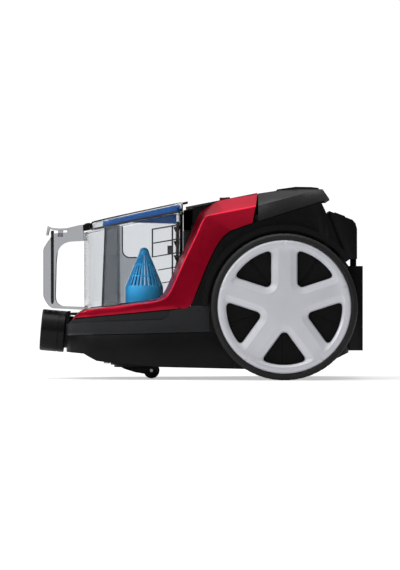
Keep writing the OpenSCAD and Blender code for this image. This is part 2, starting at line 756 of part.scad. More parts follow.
module release_lever() {
    color([0.5, 0.52, 0.55, 0.5])
    difference() {
        union() {
            side_slab([[-194.6, 194.9], [-189.4, 192.5], [-179.2, 191.6], [-169.9, 192.2], [-169.9, 189.7],
                [-179.2, 189.1], [-188.6, 189.8], [-192.4, 191.4], [-194.3, 182.8], [-196.7, 182.8]], -15, 15);
            side_slab([[-181.5, 189.6], [-175.5, 189.6], [-175, 181], [-182, 181]], -7, 7);
        }
        along_y(lever_p[0], -20, lever_p[1]) cylinder(r = 1.5 + run, h = 40);
    }
}

module latch_rod() {
    color([0.12, 0.12, 0.13])
    translate([-190.8, -3.6, 91]) cube([3.8, 7.2, 97.9]);
}

module bucket_pins() {
    color([0.7, 0.7, 0.72]) {
        along_y(lever_p[0], -16.5, lever_p[1]) cylinder(r = 1.5, h = 33);
        along_y(hinge_x, -14, hinge_z) cylinder(r = 1.8, h = 28);
    }
}

lid_side = [[lid_front, rim_z(lid_front) + gap], [lid_rear, rim_z(lid_rear) + gap], [lid_rear, lid_top(lid_rear)],
    [lid_front, lid_top(lid_front)]];
lid_side_in = [[lid_front + 2.5, 180], [0, 190], [0, lid_top(0) - 2.4], [lid_front + 2.5, lid_top(lid_front + 2.5) - 2.4]];
module bucket_lid() {
    color([0.5, 0.52, 0.55, 0.4])
    difference() {
        union() {
            intersection() {
                bucket_block(0, 180, 240);
                side_cut(lid_side);
            }
            side_slab([[-26, lid_top(-26) - 2.4], [-15.4, lid_top(-15.4) - 2.6],
                [-15.4, lid_top(-15.4)], [-26, lid_top(-26) - 0.1]], -24, 24);
            along_y(hinge_x, -8, hinge_z) cylinder(r = 4.6, h = 16);
            side_slab([[hinge_x, 191.4], [lid_front + 1, 191.4], [lid_front + 1, 198.6], [hinge_x, 198.6]], -8, 8);
        }
        intersection() {
            bucket_block(2.5, 170, 240);
            side_cut(lid_side_in);
        }
        along_y(hinge_x, -20, hinge_z) cylinder(r = 1.8 + run, h = 40);
    }
}

module lid_seal() {
    color([0.03, 0.03, 0.03])
    intersection() {
        difference() {
            bucket_block(2.8, 180, 230);
            bucket_block(4.8, 170, 240);
        }
        side_cut([[lid_front + 2.8, rim_z(lid_front + 2.8) + gap], [0, rim_z(0) + gap], [0, rim_z(0) + 2.6],
            [lid_front + 2.8, rim_z(lid_front + 2.8) + 2.6]]);
    }
}

cap_side = [[-122, 199.4], [-118, 197.8], [-28, 197.8], [-28, lid_top(-28) - 2.7], [-122, lid_top(-122) - 2.7]];
cap_side_in = [[-106, 199.8], [-30, 199.8], [-30, lid_top(-30) - 4.7], [-106, lid_top(-106) - 4.7]];
module cyclone_cap() {
    color([0.02, 0.3, 0.75])
    difference() {
        intersection() {
            bucket_block(8, 190, 240);
            side_cut(cap_side);
        }
        intersection() {
            bucket_block(10, 190, 240);
            side_cut(cap_side_in);
        }
        translate([cone_x, 0, 190]) cylinder(r = 24, h = 11);
    }
}

// Height of the cone's foot and tip, and radius of its foot and of its rounded tip
cone_foot = 117;
cone_tip = 161.4;
cone_r = 24.3;
tip_r = 6;
module cyclone_cone() {
    color([0.02, 0.4, 0.85])
    translate([cone_x, 0, 0])
    difference() {
        union() {
            translate([0, 0, floor_z + clear_wall + gap]) cylinder(r = cone_r, h = cone_foot - floor_z - clear_wall - gap);
            translate([0, 0, cone_foot]) cylinder(r1 = cone_r, r2 = tip_r, h = cone_tip - cone_foot);
            translate([0, 0, cone_tip]) sphere(r = tip_r);
        }
        translate([0, 0, floor_z + clear_wall]) cylinder(r = cone_r - 2, h = cone_foot - floor_z - clear_wall);
        translate([0, 0, cone_foot - 0.01]) cylinder(r1 = cone_r - 2, r2 = tip_r - 2, h = cone_tip - cone_foot);
        for (i = [0:cone_slots / 2 - 1], t = [0:2]) rotate([0, 0, 360 * i / cone_slots])
            translate([-30, -[1.3, 1, 0.7][t], 119.5 + 14.5 * t]) cube([60, 2 * [1.3, 1, 0.7][t], 11.5]);
    }
}

module riser_duct() {
    color([0.3, 0.31, 0.33, 0.6])
    difference() {
        side_slab([[-126, 88], [-121.6, 197.2], [-103, 197.2], [-101.2, 88]], -16, 16);
        side_slab([[-124.2, 80], [-119.4, 210], [-105, 210], [-103, 80]], -13.8, 13.8);
    }
}

module cyclone_baffle() {
    color([0.35, 0.36, 0.38, 0.5])
    difference() {
        translate([cone_x, 0, 88]) pipe(28.8, 27, 109);
        translate([-88, -40, 155]) cube([60, 80, 60]);
        for (s = [-1, 1]) translate([-88, 0, 164]) rotate([90, 0, 0]) cylinder(r = 9, h = 80, center = true);
        translate([-97, -40, 164]) cube([40, 80, 60]);
        translate([cone_x, -40, 80]) cube([60, 80, 130]);
    }
}

// Sloping louvre blades behind the cone: front X, and height at that X
blades = [[-61.4, 190], [-61.4, 172], [-61.4, 154.6], [-53.5, 138], [-48.5, 121.5]];
blade_slope = 0.17;
blade_end = -26;
module louvre_grid() {
    color([0.1, 0.1, 0.11])
    union() {
        for (b = blades) side_slab([[b[0], b[1]], [blade_end, b[1] + blade_slope * (blade_end - b[0])],
            [blade_end, b[1] + 1.4 + blade_slope * (blade_end - b[0])], [b[0], b[1] + 1.4]], -34, 34);
        for (y = [-34, 30]) {
            translate([-61.4, y, 154.6]) cube([1.5, 4, 37]);
            translate([-36, y, 100]) cube([2, 4, 96]);
            translate([-41.5, y, 158]) cube([6, 4, 12]);
        }
        difference() {
            translate([-29, -40, 100]) cube([3.2, 80, 96.4]);
            translate([-40, -33, 106]) cube([30, 66, 84]);
        }
    }
}

// ---- rear wheels ----

// Distance from the centre plane to each face of the wheel's parts
wheel_in = 111.5;
rim_out = 131.4;
tyre_in = 84.2;
cap_r = 83.8;

module on_wheel(y) {
    along_y(wheel_x, y, wheel_r) children();
}

module wheel(side) {
    color([0.06, 0.06, 0.065])
    on_side(side) on_wheel(wheel_in)
    rotate_extrude($fn = 120) polygon([[axle_r + run, 0], [14, 0], [14, 6], [76, 9], [80, 1.5], [84, 1.5],
        [84, rim_out - wheel_in], [80, rim_out - wheel_in], [77, 12], [14, 9], [14, 19.5], [axle_r + run, 19.5]]);
}

module tyre(side) {
    color([0.03, 0.03, 0.03])
    on_side(side) on_wheel(wheel_in + 1)
    rotate_extrude($fn = 120) polygon([[tyre_in, 0], [89.5, 0], [91.3, 1.4], [wheel_r, 4], [wheel_r, 22],
        [91.3, 24.6], [89.5, 26], [tyre_in, 26]]);
}

window_out = 72.5;
window_in = 36;
spoke_half = 16.4;
// One window between two spokes: outer arc, then two sides parallel to the spokes, meeting in a small arc
function window_outline() = let (half = 180 / spokes, a = half - asin(spoke_half / window_out),
        tip = spoke_half / sin(half), corner = 6, c = tip + corner / sin(half))
    concat([for (i = [0:8]) let (b = -a + 2 * a * i / 8) [window_out * cos(b), window_out * sin(b)]],
        [for (i = [0:6]) let (b = 90 + half + (180 - 2 * half) * i / 6) [c + corner * cos(b), corner * sin(b)]]);

module hubcap(side) {
    color([0.75, 0.76, 0.79])
    on_side(side) difference() {
        on_wheel(0) rotate_extrude($fn = 120) polygon([[0, 133.6], [70, 132], [80, rim_out + gap],
            [cap_r, rim_out + gap], [cap_r, 136.8], [81, 138.6], [74, 138.9], [60, 139.4], [30, wheel_out - 0.1],
            [0, wheel_out]]);
        for (i = [0:spokes - 1]) on_wheel(120) rotate([0, 0, (i + 0.5) * 360 / spokes - 90])
            linear_extrude(height = 30) polygon(window_outline());
    }
}

module wheel_axles() {
    color([0.7, 0.7, 0.72])
    for (s = [-1, 1]) on_side(s) union() {
        along_y(wheel_x, 84, wheel_r) cylinder(r = axle_r, h = 48.4);
        along_y(wheel_x, 84, wheel_r) cylinder(r = 10, h = 5);
    }
}

// ---- front caster ----

roller_x = swivel_x + trail;
module caster_fork() {
    color([0.08, 0.08, 0.085])
    difference() {
        union() {
            translate([swivel_x, 0, 14.5]) cylinder(r = 30, h = 8.5);
            translate([swivel_x, 0, 20]) cylinder(r = 5, h = 18.5);
            intersection() {
                translate([swivel_x, 0, 0]) cylinder(r = 30, h = 20);
                side_slab([[-110, 20], [-97.3, 12.5], [-83.2, 8], [-70.4, 5.7], [-62, 4.4], [-54, 7],
                    [-52.6, 14.6], [-52.6, 18], [-110, 20]], -15, 15);
            }
        }
        translate([roller_x, 0, roller_r]) cube([24.6, 17, 24.6], center = true);
        along_y(roller_x, -20, roller_r) cylinder(r = 2.02, h = 40);
    }
}

module caster_roller() {
    color([0.12, 0.12, 0.12])
    along_y(roller_x, -8, roller_r) pipe(roller_r, 2 + run, 16);
}

module caster_pin() {
    color([0.7, 0.7, 0.72])
    along_y(roller_x, -13, roller_r) cylinder(r = 2, h = 26);
}

bottom_shell();
main_housing();
cradle();
side_panel(-1);  // side_panel_left
side_panel(1);  // side_panel_right
trim(-1);  // trim_left
trim(1);  // trim_right
top_deck();
power_slider();
rear_cover();
pedal(-1);  // power_pedal
pedal(1);  // rewind_pedal
pedal_spring(-1);  // power_spring
pedal_spring(1);  // rewind_spring
exhaust_door();
door_latch();
exhaust_filter();
rear_dock();
cord_outlet();
inlet_collar();
inlet_seal();
inlet_duct();
filter_frame();
foam_filter();
fan_cover();
motor_frame();
motor_rotor();
impeller();
motor_mounts();
reel_drum();
reel_axle();
brake_lever();
brake_roller();
control_board();
body_screws();
bucket_shell();
bucket_handle();
bucket_lid();
lid_seal();
cyclone_cap();
cyclone_cone();
riser_duct();
cyclone_baffle();
louvre_grid();
release_lever();
latch_rod();
bucket_pins();
wheel(-1);  // wheel_left
wheel(1);  // wheel_right
tyre(-1);  // tyre_left
tyre(1);  // tyre_right
hubcap(-1);  // hubcap_left
hubcap(1);  // hubcap_right
wheel_axles();
caster_fork();
caster_roller();
caster_pin();
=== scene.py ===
"""Looks of the canister vacuum cleaner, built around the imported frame.

Shapes are written in millimetres, in the frame of the CAD model: X to the tail, Z up, and -Y the near side.
Lights, floor and camera are in metres. Pieces for both sides are drawn on the +Y side and mirrored.
"""
import json
import math

import bmesh
import bpy
import numpy as np
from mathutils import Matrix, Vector


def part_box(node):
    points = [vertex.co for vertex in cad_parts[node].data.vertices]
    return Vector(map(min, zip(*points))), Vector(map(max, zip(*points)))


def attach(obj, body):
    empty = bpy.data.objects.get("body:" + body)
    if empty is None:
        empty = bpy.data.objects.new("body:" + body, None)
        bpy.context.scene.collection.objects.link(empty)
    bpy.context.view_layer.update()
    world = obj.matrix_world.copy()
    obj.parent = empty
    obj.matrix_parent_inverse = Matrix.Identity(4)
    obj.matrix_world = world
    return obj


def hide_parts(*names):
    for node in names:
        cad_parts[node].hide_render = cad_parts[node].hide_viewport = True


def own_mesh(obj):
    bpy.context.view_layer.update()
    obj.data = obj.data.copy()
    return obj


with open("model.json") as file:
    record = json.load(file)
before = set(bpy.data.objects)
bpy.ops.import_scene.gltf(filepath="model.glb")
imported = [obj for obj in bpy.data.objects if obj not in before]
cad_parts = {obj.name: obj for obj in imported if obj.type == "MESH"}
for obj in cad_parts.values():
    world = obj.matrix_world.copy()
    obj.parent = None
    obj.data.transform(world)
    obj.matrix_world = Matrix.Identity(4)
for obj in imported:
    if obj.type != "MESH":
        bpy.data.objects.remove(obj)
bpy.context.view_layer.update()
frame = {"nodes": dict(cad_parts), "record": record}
MM = 0.001


def mm_box(node):
    """Lowest and highest corner of a CAD node, in millimetres."""
    low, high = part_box(node)
    return np.array(low) / MM, np.array(high) / MM


# ---------------------------------------------------------------- materials

CLOUD_CELLS, SHEEN_CELLS, FLAKE_CELLS = 34, 190, 1500.0      # cells per metre
GRAIN_DEPTH, FLAKE_DEPTH, WAVE_DEPTH = 0.25, 0.2, 0.6       # millimetres


def socket_defaults(shader, values):
    """Sets unlinked sockets of a node by name."""
    for name, value in values.items():
        shader.inputs[name].default_value = value


def base_material(name):
    mat = bpy.data.materials.new(name)
    mat.use_nodes = True
    tree = mat.node_tree
    return mat, tree, tree.nodes["Principled BSDF"]


def noise(tree, scale, detail=3.0, rough=0.55, stretch=None):
    """A noise texture in object space, with its scale in cells per metre."""
    coords = tree.nodes.new("ShaderNodeTexCoord")
    node = tree.nodes.new("ShaderNodeTexNoise")
    socket_defaults(node, {"Scale": scale, "Detail": detail, "Roughness": rough})
    if stretch:
        mapping = tree.nodes.new("ShaderNodeMapping")
        mapping.inputs["Scale"].default_value = stretch
        tree.links.new(coords.outputs["Object"], mapping.inputs["Vector"])
        tree.links.new(mapping.outputs["Vector"], node.inputs["Vector"])
    else:
        tree.links.new(coords.outputs["Object"], node.inputs["Vector"])
    return node


def ramp(tree, source, stops):
    """Colour ramp with the given (place, colour) stops."""
    node = tree.nodes.new("ShaderNodeValToRGB")
    tree.links.new(source, node.inputs["Fac"])
    elements = node.color_ramp.elements
    while len(elements) < len(stops):
        elements.new(0.5)
    for element, (place, colour) in zip(elements, stops):
        element.position = place
        element.color = (*colour, 1)
    return node.outputs["Color"]


def spread(tree, source, low, high):
    """Stretches a noise value's middle range to low..high."""
    node = tree.nodes.new("ShaderNodeMapRange")
    socket_defaults(node, {"From Min": 0.3, "From Max": 0.7, "To Min": low, "To Max": high})
    tree.links.new(source, node.inputs["Value"])
    return node.outputs["Result"]


def bump(tree, shader, source, strength, distance):
    """Bump of a height source, with its depth in millimetres."""
    node = tree.nodes.new("ShaderNodeBump")
    socket_defaults(node, {"Strength": strength, "Distance": distance * MM})
    tree.links.new(source, node.inputs["Height"])
    tree.links.new(node.outputs["Normal"], shader.inputs["Normal"])


def plastic(name, colour, rough, grain=0.0, grain_scale=2600, vary=0.12, spec=0.5, coat=0.0, coat_rough=0.1,
            metal=0.0, spread_rough=0.06, speck=0.0):
    """Moulded plastic or paint, uneven in colour and gloss, with grain, flakes or a clear coat if asked."""
    mat, tree, shader = base_material(name)
    wide = noise(tree, CLOUD_CELLS, 4, 0.6)
    dark = tuple(c * (1 - vary) for c in colour)
    light = tuple(min(1, c * (1 + vary)) for c in colour)
    tree.links.new(ramp(tree, wide.outputs["Fac"], [(0.3, dark), (0.7, light)]), shader.inputs["Base Color"])
    sheen = noise(tree, SHEEN_CELLS, 5, 0.65)
    tree.links.new(spread(tree, sheen.outputs["Fac"], rough - spread_rough, rough + spread_rough),
                   shader.inputs["Roughness"])
    if grain:
        bump(tree, shader, noise(tree, grain_scale, 2, 0.5).outputs["Fac"], grain, GRAIN_DEPTH)
    if speck:
        flakes = tree.nodes.new("ShaderNodeTexVoronoi")
        socket_defaults(flakes, {"Scale": FLAKE_CELLS})
        coords = tree.nodes.new("ShaderNodeTexCoord")
        tree.links.new(coords.outputs["Object"], flakes.inputs["Vector"])
        bump(tree, shader, flakes.outputs["Distance"], speck, FLAKE_DEPTH)
    socket_defaults(shader, {"Metallic": metal, "Specular IOR Level": spec, "Coat Weight": coat,
                             "Coat Roughness": coat_rough})
    return mat


def clear(name, tint, rough=0.02, ior=1.3, scratch=0.02):
    """Smoked clear plastic, with faint handling marks."""
    mat, tree, shader = base_material(name)
    socket_defaults(shader, {"Base Color": (*tint, 1), "Transmission Weight": 1.0, "IOR": ior,
                             "Specular IOR Level": 0.5})
    marks = noise(tree, 420, 5, 0.7, stretch=(1, 1, 0.2))
    tree.links.new(spread(tree, marks.outputs["Fac"], 0.0, rough), shader.inputs["Roughness"])
    wave = noise(tree, 26, 2, 0.4)
    bump(tree, shader, wave.outputs["Fac"], scratch, WAVE_DEPTH)
    return mat


GLOSS_BLACK = plastic("gloss_black", (0.005, 0.005, 0.0055), 0.16, grain=0.02, vary=0.1, coat=0.5,
                      coat_rough=0.05)
SHELL_BLACK = plastic("shell_black", (0.0045, 0.0045, 0.0048), 0.36, grain=0.03, vary=0.12, spec=0.2)
SATIN_BLACK = plastic("satin_black", (0.0045, 0.0045, 0.0048), 0.32, grain=0.025, vary=0.12, spec=0.24)
SKIRT_GREY = plastic("skirt_grey", (0.02, 0.0215, 0.0235), 0.32, grain=0.025, vary=0.1, spec=0.35)
COVER_GREY = plastic("cover_grey", (0.0095, 0.0095, 0.01), 0.3, grain=0.025, vary=0.1, spec=0.42)
RED = plastic("metallic_red", (0.56, 0.002, 0.028), 0.3, metal=0.85, coat=0.15, coat_rough=0.08, vary=0.06,
              spread_rough=0.03, speck=0.05)
# the trim's red darkened as painted shade, a shaded copy of the red for the power slider
SHADED_RED = plastic("red_painted_shade", (0.16, 0.003, 0.012), 0.28, coat=0.3, coat_rough=0.08, grain=0.02)
SILVER = plastic("silver_paint", (0.84, 0.856, 0.912), 0.36, metal=0.2, coat=0.3, coat_rough=0.15, vary=0.03,
                 spread_rough=0.03, speck=0.03)
RUBBER = plastic("tyre_rubber", (0.016, 0.016, 0.0165), 0.5, grain=0.2, grain_scale=1400, vary=0.25, spec=0.3)
SEAL = plastic("seal_rubber", (0.012, 0.012, 0.012), 0.55, grain=0.15, vary=0.2, spec=0.3)
BLUE = plastic("clear_blue", (0.008, 0.46, 1.0), 0.3, vary=0.12, coat=0.15, coat_rough=0.05, spec=0.4)
CAP_BLUE = plastic("cap_blue", (0.0, 0.085, 0.33), 0.24, vary=0.2, coat=0.1, coat_rough=0.05, spec=0.3)
GRILLE = plastic("grille_black", (0.01, 0.01, 0.011), 0.4, grain=0.08)
STEEL = plastic("bright_steel", (0.56, 0.56, 0.58), 0.26, metal=1.0, vary=0.05, grain=0.03)
ALLOY = plastic("cast_alloy", (0.5, 0.51, 0.53), 0.42, metal=1.0, vary=0.12, grain=0.3, grain_scale=900)
CORE = plastic("motor_core", (0.16, 0.1, 0.06), 0.5, metal=0.6, vary=0.3, grain=0.3, grain_scale=700)
PAPER = plastic("filter_paper", (0.72, 0.72, 0.68), 0.85, vary=0.06, grain=0.5, grain_scale=1100, spec=0.1)
FOAM = plastic("open_foam", (0.42, 0.42, 0.4), 0.95, vary=0.25, grain=1.0, grain_scale=620, spec=0.05)
BOARD = plastic("board_green", (0.01, 0.11, 0.035), 0.32, vary=0.3, coat=0.4)
SMOKE = clear("clear_smoke", (0.8, 0.815, 0.83))
HANDLE = clear("handle_smoke", (0.36, 0.37, 0.385), ior=1.3, scratch=0.0)
INNER = clear("inner_smoke", (0.42, 0.435, 0.45), ior=1.12)

SLOT_LOOK = {
    "shell_black": SHELL_BLACK, "housing_black": SATIN_BLACK, "skirt_grey": SKIRT_GREY, "trim_red": RED,
    "cover_grey": COVER_GREY, "clear_smoke": SMOKE, "inner_smoke": INNER, "cone_blue": BLUE,
    "grille_black": GRILLE, "silver": SILVER, "tyre_rubber": RUBBER, "seal_rubber": SEAL, "steel": STEEL,
    "motor_metal": ALLOY, "motor_core": CORE, "filter_white": PAPER, "foam": FOAM, "board_green": BOARD,
    "roller_grey": SEAL,
}
node_slot = {row["node"]: row["material_slot"] for row in frame["record"]["subparts"]}
node_body = {n: b for b, ns in frame["record"]["behaviour"]["bodies"].items() for n in ns}
for node, obj in frame["nodes"].items():
    obj.data.materials.clear()
    obj.data.materials.append(SLOT_LOOK[node_slot[node]])


# ---------------------------------------------------------------- mesh tools

def finish_piece(obj, body, look, node=None, cad=(), bevel=0.0, seg=3, limit=30, sharp=35, weighted=True):
    """Gives a piece its look, its rounded edges, its body, and the CAD nodes in cad that it replaces."""
    mesh = obj.data
    mesh.materials.clear()
    mesh.materials.append(look)
    mesh.shade_smooth()
    if bevel:
        mod = obj.modifiers.new("round", "BEVEL")
        mod.width, mod.segments = bevel * MM, seg
        mod.limit_method, mod.angle_limit = "ANGLE", math.radians(limit)
        mod.miter_outer = "MITER_ARC"
        mod.harden_normals = True
    else:
        mesh.set_sharp_from_angle(angle=math.radians(sharp))
        if weighted:
            mod = obj.modifiers.new("normals", "WEIGHTED_NORMAL")
            mod.keep_sharp = True
    bpy.context.scene.collection.objects.link(obj)
    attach(obj, body)
    if cad:
        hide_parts(*cad)
    return obj


def new_piece(name, verts, faces, body, look, flip_y=False, **kw):
    """A piece from vertices in millimetres, mirrored to the -Y side if asked."""
    mesh = bpy.data.meshes.new(name)
    points = np.array(verts, float) * MM
    if flip_y:
        points = points * np.array([1, -1, 1])
    mesh.from_pydata(points.tolist(), [], [list(f) for f in faces])
    bm = bmesh.new()
    bm.from_mesh(mesh)
    bmesh.ops.remove_doubles(bm, verts=bm.verts, dist=1e-6)
    bmesh.ops.recalc_face_normals(bm, faces=bm.faces)
    bm.to_mesh(mesh)
    bm.free()
    return finish_piece(bpy.data.objects.new(name, mesh), body, look, **kw)


def from_cad(name, node, look, bevel=0.0, dissolve=2.0, **kw):
    """A copy of a CAD node's mesh with its flat regions joined, so that its edges can be rounded."""
    mesh = frame["nodes"][node].data.copy()
    bm = bmesh.new()
    bm.from_mesh(mesh)
    bmesh.ops.remove_doubles(bm, verts=bm.verts, dist=2e-6)
    bmesh.ops.dissolve_limit(bm, angle_limit=math.radians(dissolve), verts=bm.verts, edges=bm.edges)
    bm.to_mesh(mesh)
    bm.free()
    mesh.name = name
    obj = bpy.data.objects.new(name, mesh)
    return finish_piece(obj, node_body[node], look, cad=[node], bevel=bevel, **kw)


def smooth_line(points, steps):
    """Points along a Catmull-Rom curve through the given points, with each span cut into steps."""
    p = np.array(points, float)
    p = np.vstack([2 * p[0] - p[1], p, 2 * p[-1] - p[-2]])
    out = []
    for i in range(1, len(p) - 2):
        t = np.linspace(0, 1, steps, endpoint=False)[:, None]
        d1 = max(np.linalg.norm(p[i] - p[i - 1]), 1e-6)
        d2 = max(np.linalg.norm(p[i + 1] - p[i]), 1e-6)
        d3 = max(np.linalg.norm(p[i + 2] - p[i + 1]), 1e-6)
        m1 = (p[i + 1] - p[i - 1]) / (d1 + d2) * d2
        m2 = (p[i + 2] - p[i]) / (d2 + d3) * d2
        out.append((2 * t**3 - 3 * t**2 + 1) * p[i] + (t**3 - 2 * t**2 + t) * m1
                   + (-2 * t**3 + 3 * t**2) * p[i + 1] + (t**3 - t**2) * m2)
    return np.vstack(out + [p[-2:-1]])


def loft(rings, closed_path=False, caps=True):
    """Vertices and faces through closed rings that all have the same number of points."""
    n, m = len(rings[0]), len(rings)
    verts = np.vstack([np.array(r, float) for r in rings])
    faces = []
    for j in range(m if closed_path else m - 1):
        k = (j + 1) % m
        for a in range(n):
            b = (a + 1) % n
            faces.append((j * n + a, j * n + b, k * n + b, k * n + a))
    if caps and not closed_path:
        faces += [tuple(range(n)), tuple((m - 1) * n + i for i in reversed(range(n)))]
    return verts, faces


def lathe(profile, centre, axis="y", steps=160):
    """Turns a closed profile of (radius, place along the axis) about the Y or Z axis through centre."""
    rings = []
    for a in np.radians(np.linspace(0, 360, steps, endpoint=False)):
        c, s = math.cos(a), math.sin(a)
        if axis == "y":
            rings.append([(centre[0] + r * c, centre[1] + h, centre[2] + r * s) for r, h in profile])
        else:
            rings.append([(centre[0] + r * c, centre[1] + r * s, centre[2] + h) for r, h in profile])
    return loft(rings, closed_path=True)


def slab(outline, y0, y1):
    """A closed outline in X and Z, extruded across."""
    return loft([[(x, y, z) for x, z in outline] for y in (y0, y1)])


def arc(cx, cy, r, a0, a1, n):
    """n + 1 points of a circle's arc, between two angles in degrees."""
    return [(cx + r * math.cos(math.radians(a0 + (a1 - a0) * i / n)),
             cy + r * math.sin(math.radians(a0 + (a1 - a0) * i / n))) for i in range(n + 1)]


def rounded(points, radii, n):
    """A closed outline with each corner rounded by up to its radius, in n steps."""
    p = [np.array(q, float) for q in points]
    out = []
    for i, q in enumerate(p):
        a, b = p[i - 1] - q, p[(i + 1) % len(p)] - q
        la, lb = np.linalg.norm(a), np.linalg.norm(b)
        cut = min(radii[i], la * 0.45, lb * 0.45)
        s, e = q + a / la * cut, q + b / lb * cut
        for k in range(n + 1):
            t = k / n
            out.append(tuple((1 - t)**2 * s + 2 * t * (1 - t) * q + t**2 * e))
    return out


def bars(name, shapes, body, look, bevel, **kw):
    """Several separate closed slabs in one piece: each is an outline in X and Z with its two Y limits."""
    return new_piece(name, *join(slab(*shape) for shape in shapes), body, look, bevel=bevel, **kw)


def join(meshes):
    """One list of vertices and one of faces, from several of each."""
    verts, faces = [], []
    for v, f in meshes:
        faces += [tuple(i + len(verts) for i in q) for q in f]
        verts += v.tolist()
    return verts, faces


def rect(x0, z0, x1, z1):
    return [(x0, z0), (x1, z0), (x1, z1), (x0, z1)]


# ---------------------------------------------------------------- wheels

wheel_low, wheel_high = mm_box("tyre_left")
axle_x, axle_z = (wheel_low[0] + wheel_high[0]) / 2, (wheel_low[2] + wheel_high[2]) / 2
tyre_r = (wheel_high[2] - wheel_low[2]) / 2
tyre_out, tyre_in = -wheel_low[1], -wheel_high[1]
cap_low, cap_high = mm_box("hubcap_left")
cap_r, cap_out = (cap_high[0] - cap_low[0]) / 2, -cap_low[1]
disc_low, disc_high = mm_box("wheel_left")
disc_in, disc_out = -disc_high[1], -disc_low[1]
SPOKES, SPOKE_HALF, WINDOW_R, WINDOW_CORNER, WINDOW_KNEE = 5, 16.4, 72.5, 6.0, 6.5
FACE_R = [0, 18, 40, 62, 72, 76.5, 79, 81.2, 82.8, cap_r]
FACE_DROP = [0, -0.15, -0.9, -1.9, -2.2, -1.4, -1.2, -1.4, -2.2, -4.2]
# the round edge of a window: distance out from its outline, and drop below the cap's face
EDGE_OUT = [0.0, 0.3, 1.3, 1.9, 7.6, 8.3, 8.9]
EDGE_DROP = [5.2, 4.2, 2.7, 2.1, 0.55, 0.12, 0.0]


def window_loop(grow):
    """Outline of a hubcap window that points along +x, grown by grow, less so towards the rim."""
    half = 180 / SPOKES
    side, outer, corner = SPOKE_HALF - grow, WINDOW_R + grow * 0.4, WINDOW_CORNER + grow
    middle = (SPOKE_HALF + WINDOW_CORNER) / math.sin(math.radians(half))
    reach = half - math.degrees(math.asin(side / outer))
    rim_reach = reach - math.degrees(WINDOW_KNEE / outer)
    rim = arc(0, 0, outer, -rim_reach, rim_reach, 22)
    tip = arc(middle, 0, corner, 90 + half, 270 - half, 12)
    loop = list(rim)
    for sign in (1, -1):
        knee = np.array([outer * math.cos(math.radians(reach)), sign * outer * math.sin(math.radians(reach))])
        inner = np.array(tip[0] if sign > 0 else tip[-1])
        bend = knee + (inner - knee) / np.linalg.norm(inner - knee) * WINDOW_KNEE
        start = np.array(rim[-1] if sign > 0 else rim[0])
        curve = [(1 - t)**2 * start + 2 * t * (1 - t) * knee + t**2 * bend for t in np.linspace(0, 1, 7)[1:]]
        curve += [bend * (1 - t) + inner * t for t in np.linspace(0, 1, 11)[1:]]
        if sign > 0:
            loop += [tuple(q) for q in curve] + tip[1:-1]
        else:
            loop += [tuple(q) for q in reversed(curve)]
    return np.array(loop)


def sector_loop(count_arc, count):
    """Outline of the fifth of the hubcap round a window: the rim's arc, in to the centre and out again."""
    half = 180 / SPOKES
    pts = arc(0, 0, cap_r, -half, half, count_arc)
    a, b = np.array(pts[-1]), np.array(pts[0])
    left = (count - count_arc) // 2
    pts += [tuple(a * (1 - t)) for t in np.linspace(0, 1, left + 1)[1:]]
    pts += [tuple(b * t) for t in np.linspace(0, 1, count - len(pts) + 1)[1:-1]]
    pts += [pts[-1]] * (count - len(pts))
    return np.array(pts)


def hubcap_height(r):
    """Distance of the cap's face from the centre plane: dished between hub and rim, with a rolled lip."""
    return cap_out + np.interp(r, FACE_R, FACE_DROP)


def hubcap(side):
    """Five equal sectors, each from its window's edge out to the sector's outline, and the rim's edge."""
    loops = [window_loop(out) for out in EDGE_OUT]
    outer = np.roll(sector_loop(28, len(loops[0])), -3, axis=0)
    parts = []
    for s in range(SPOKES):
        turn = math.radians(-90 + s * 360 / SPOKES)
        rot = np.array([[math.cos(turn), -math.sin(turn)], [math.sin(turn), math.cos(turn)]])
        p = loops[0] @ rot.T
        rings = [np.column_stack([p[:, 0], np.full(len(p), disc_out + 0.6), p[:, 1]])]
        steps = list(zip(loops, EDGE_DROP))
        steps += [(loops[-1] * (1 - t) + outer * t, 0.0) for t in np.linspace(0, 1, 13)[1:]]
        for loop, drop in steps:
            p = loop @ rot.T
            r = np.hypot(p[:, 0], p[:, 1])
            rings.append(np.column_stack([p[:, 0], hubcap_height(r) - drop, p[:, 1]]))
        parts.append(loft(rings, caps=False))
    parts.append(lathe([(cap_r, hubcap_height(cap_r)), (cap_r, disc_out + 0.5), (74.5, disc_out + 0.5)],
                       (0, 0, 0), steps=130))
    verts, faces = join(parts)
    verts = np.array(verts) + np.array([axle_x, 0, axle_z])
    new_piece("hubcap_" + side + "_cap", verts, faces, side + "_wheel", SILVER, flip_y=side == "left",
              cad=["hubcap_" + side], sharp=50)


def tyre(side):
    """Tyre with round shoulders, sidewall rings and fine cross grooves in the tread."""
    w = tyre_out - tyre_in
    seat = cap_r + 0.4
    steps, groove_every, groove_depth, tread_zone = 360, 6, 0.35, 1.7
    shoulder = [(5.5, 0.0), (3.4, 0.25), (1.6, 1.4), (0.5, 3.2), (0.0, 5.4)]
    rings_across = [(0.0, 0.34), (0.9, 0.36), (0.9, 0.40), (0.0, 0.42), (0.0, 0.58), (0.9, 0.60), (0.9, 0.64),
                    (0.0, 0.66)]
    base = [(seat, 0.6)] + [(tyre_r - d, h) for d, h in shoulder]
    base += [(tyre_r - d, w * t) for d, t in rings_across]
    base += [(tyre_r - d, w - h) for d, h in reversed(shoulder)]
    base += [(seat + 1.5, w - 0.25), (seat + 0.9, w - 0.9), (seat, w - 1.2)]
    rings = []
    for i in range(steps):
        a = math.radians(360 * i / steps)
        groove = 0.0 if i % groove_every else groove_depth
        ring = []
        for r, h in base:
            cut = groove if r > tyre_r - tread_zone else 0
            ring.append((axle_x + (r - cut) * math.cos(a), tyre_in + h, axle_z + (r - cut) * math.sin(a)))
        rings.append(ring)
    v, f = loft(rings, closed_path=True)
    new_piece("tyre_" + side + "_tread", v, f, side + "_wheel", RUBBER, flip_y=side == "left",
              cad=["tyre_" + side], sharp=60)


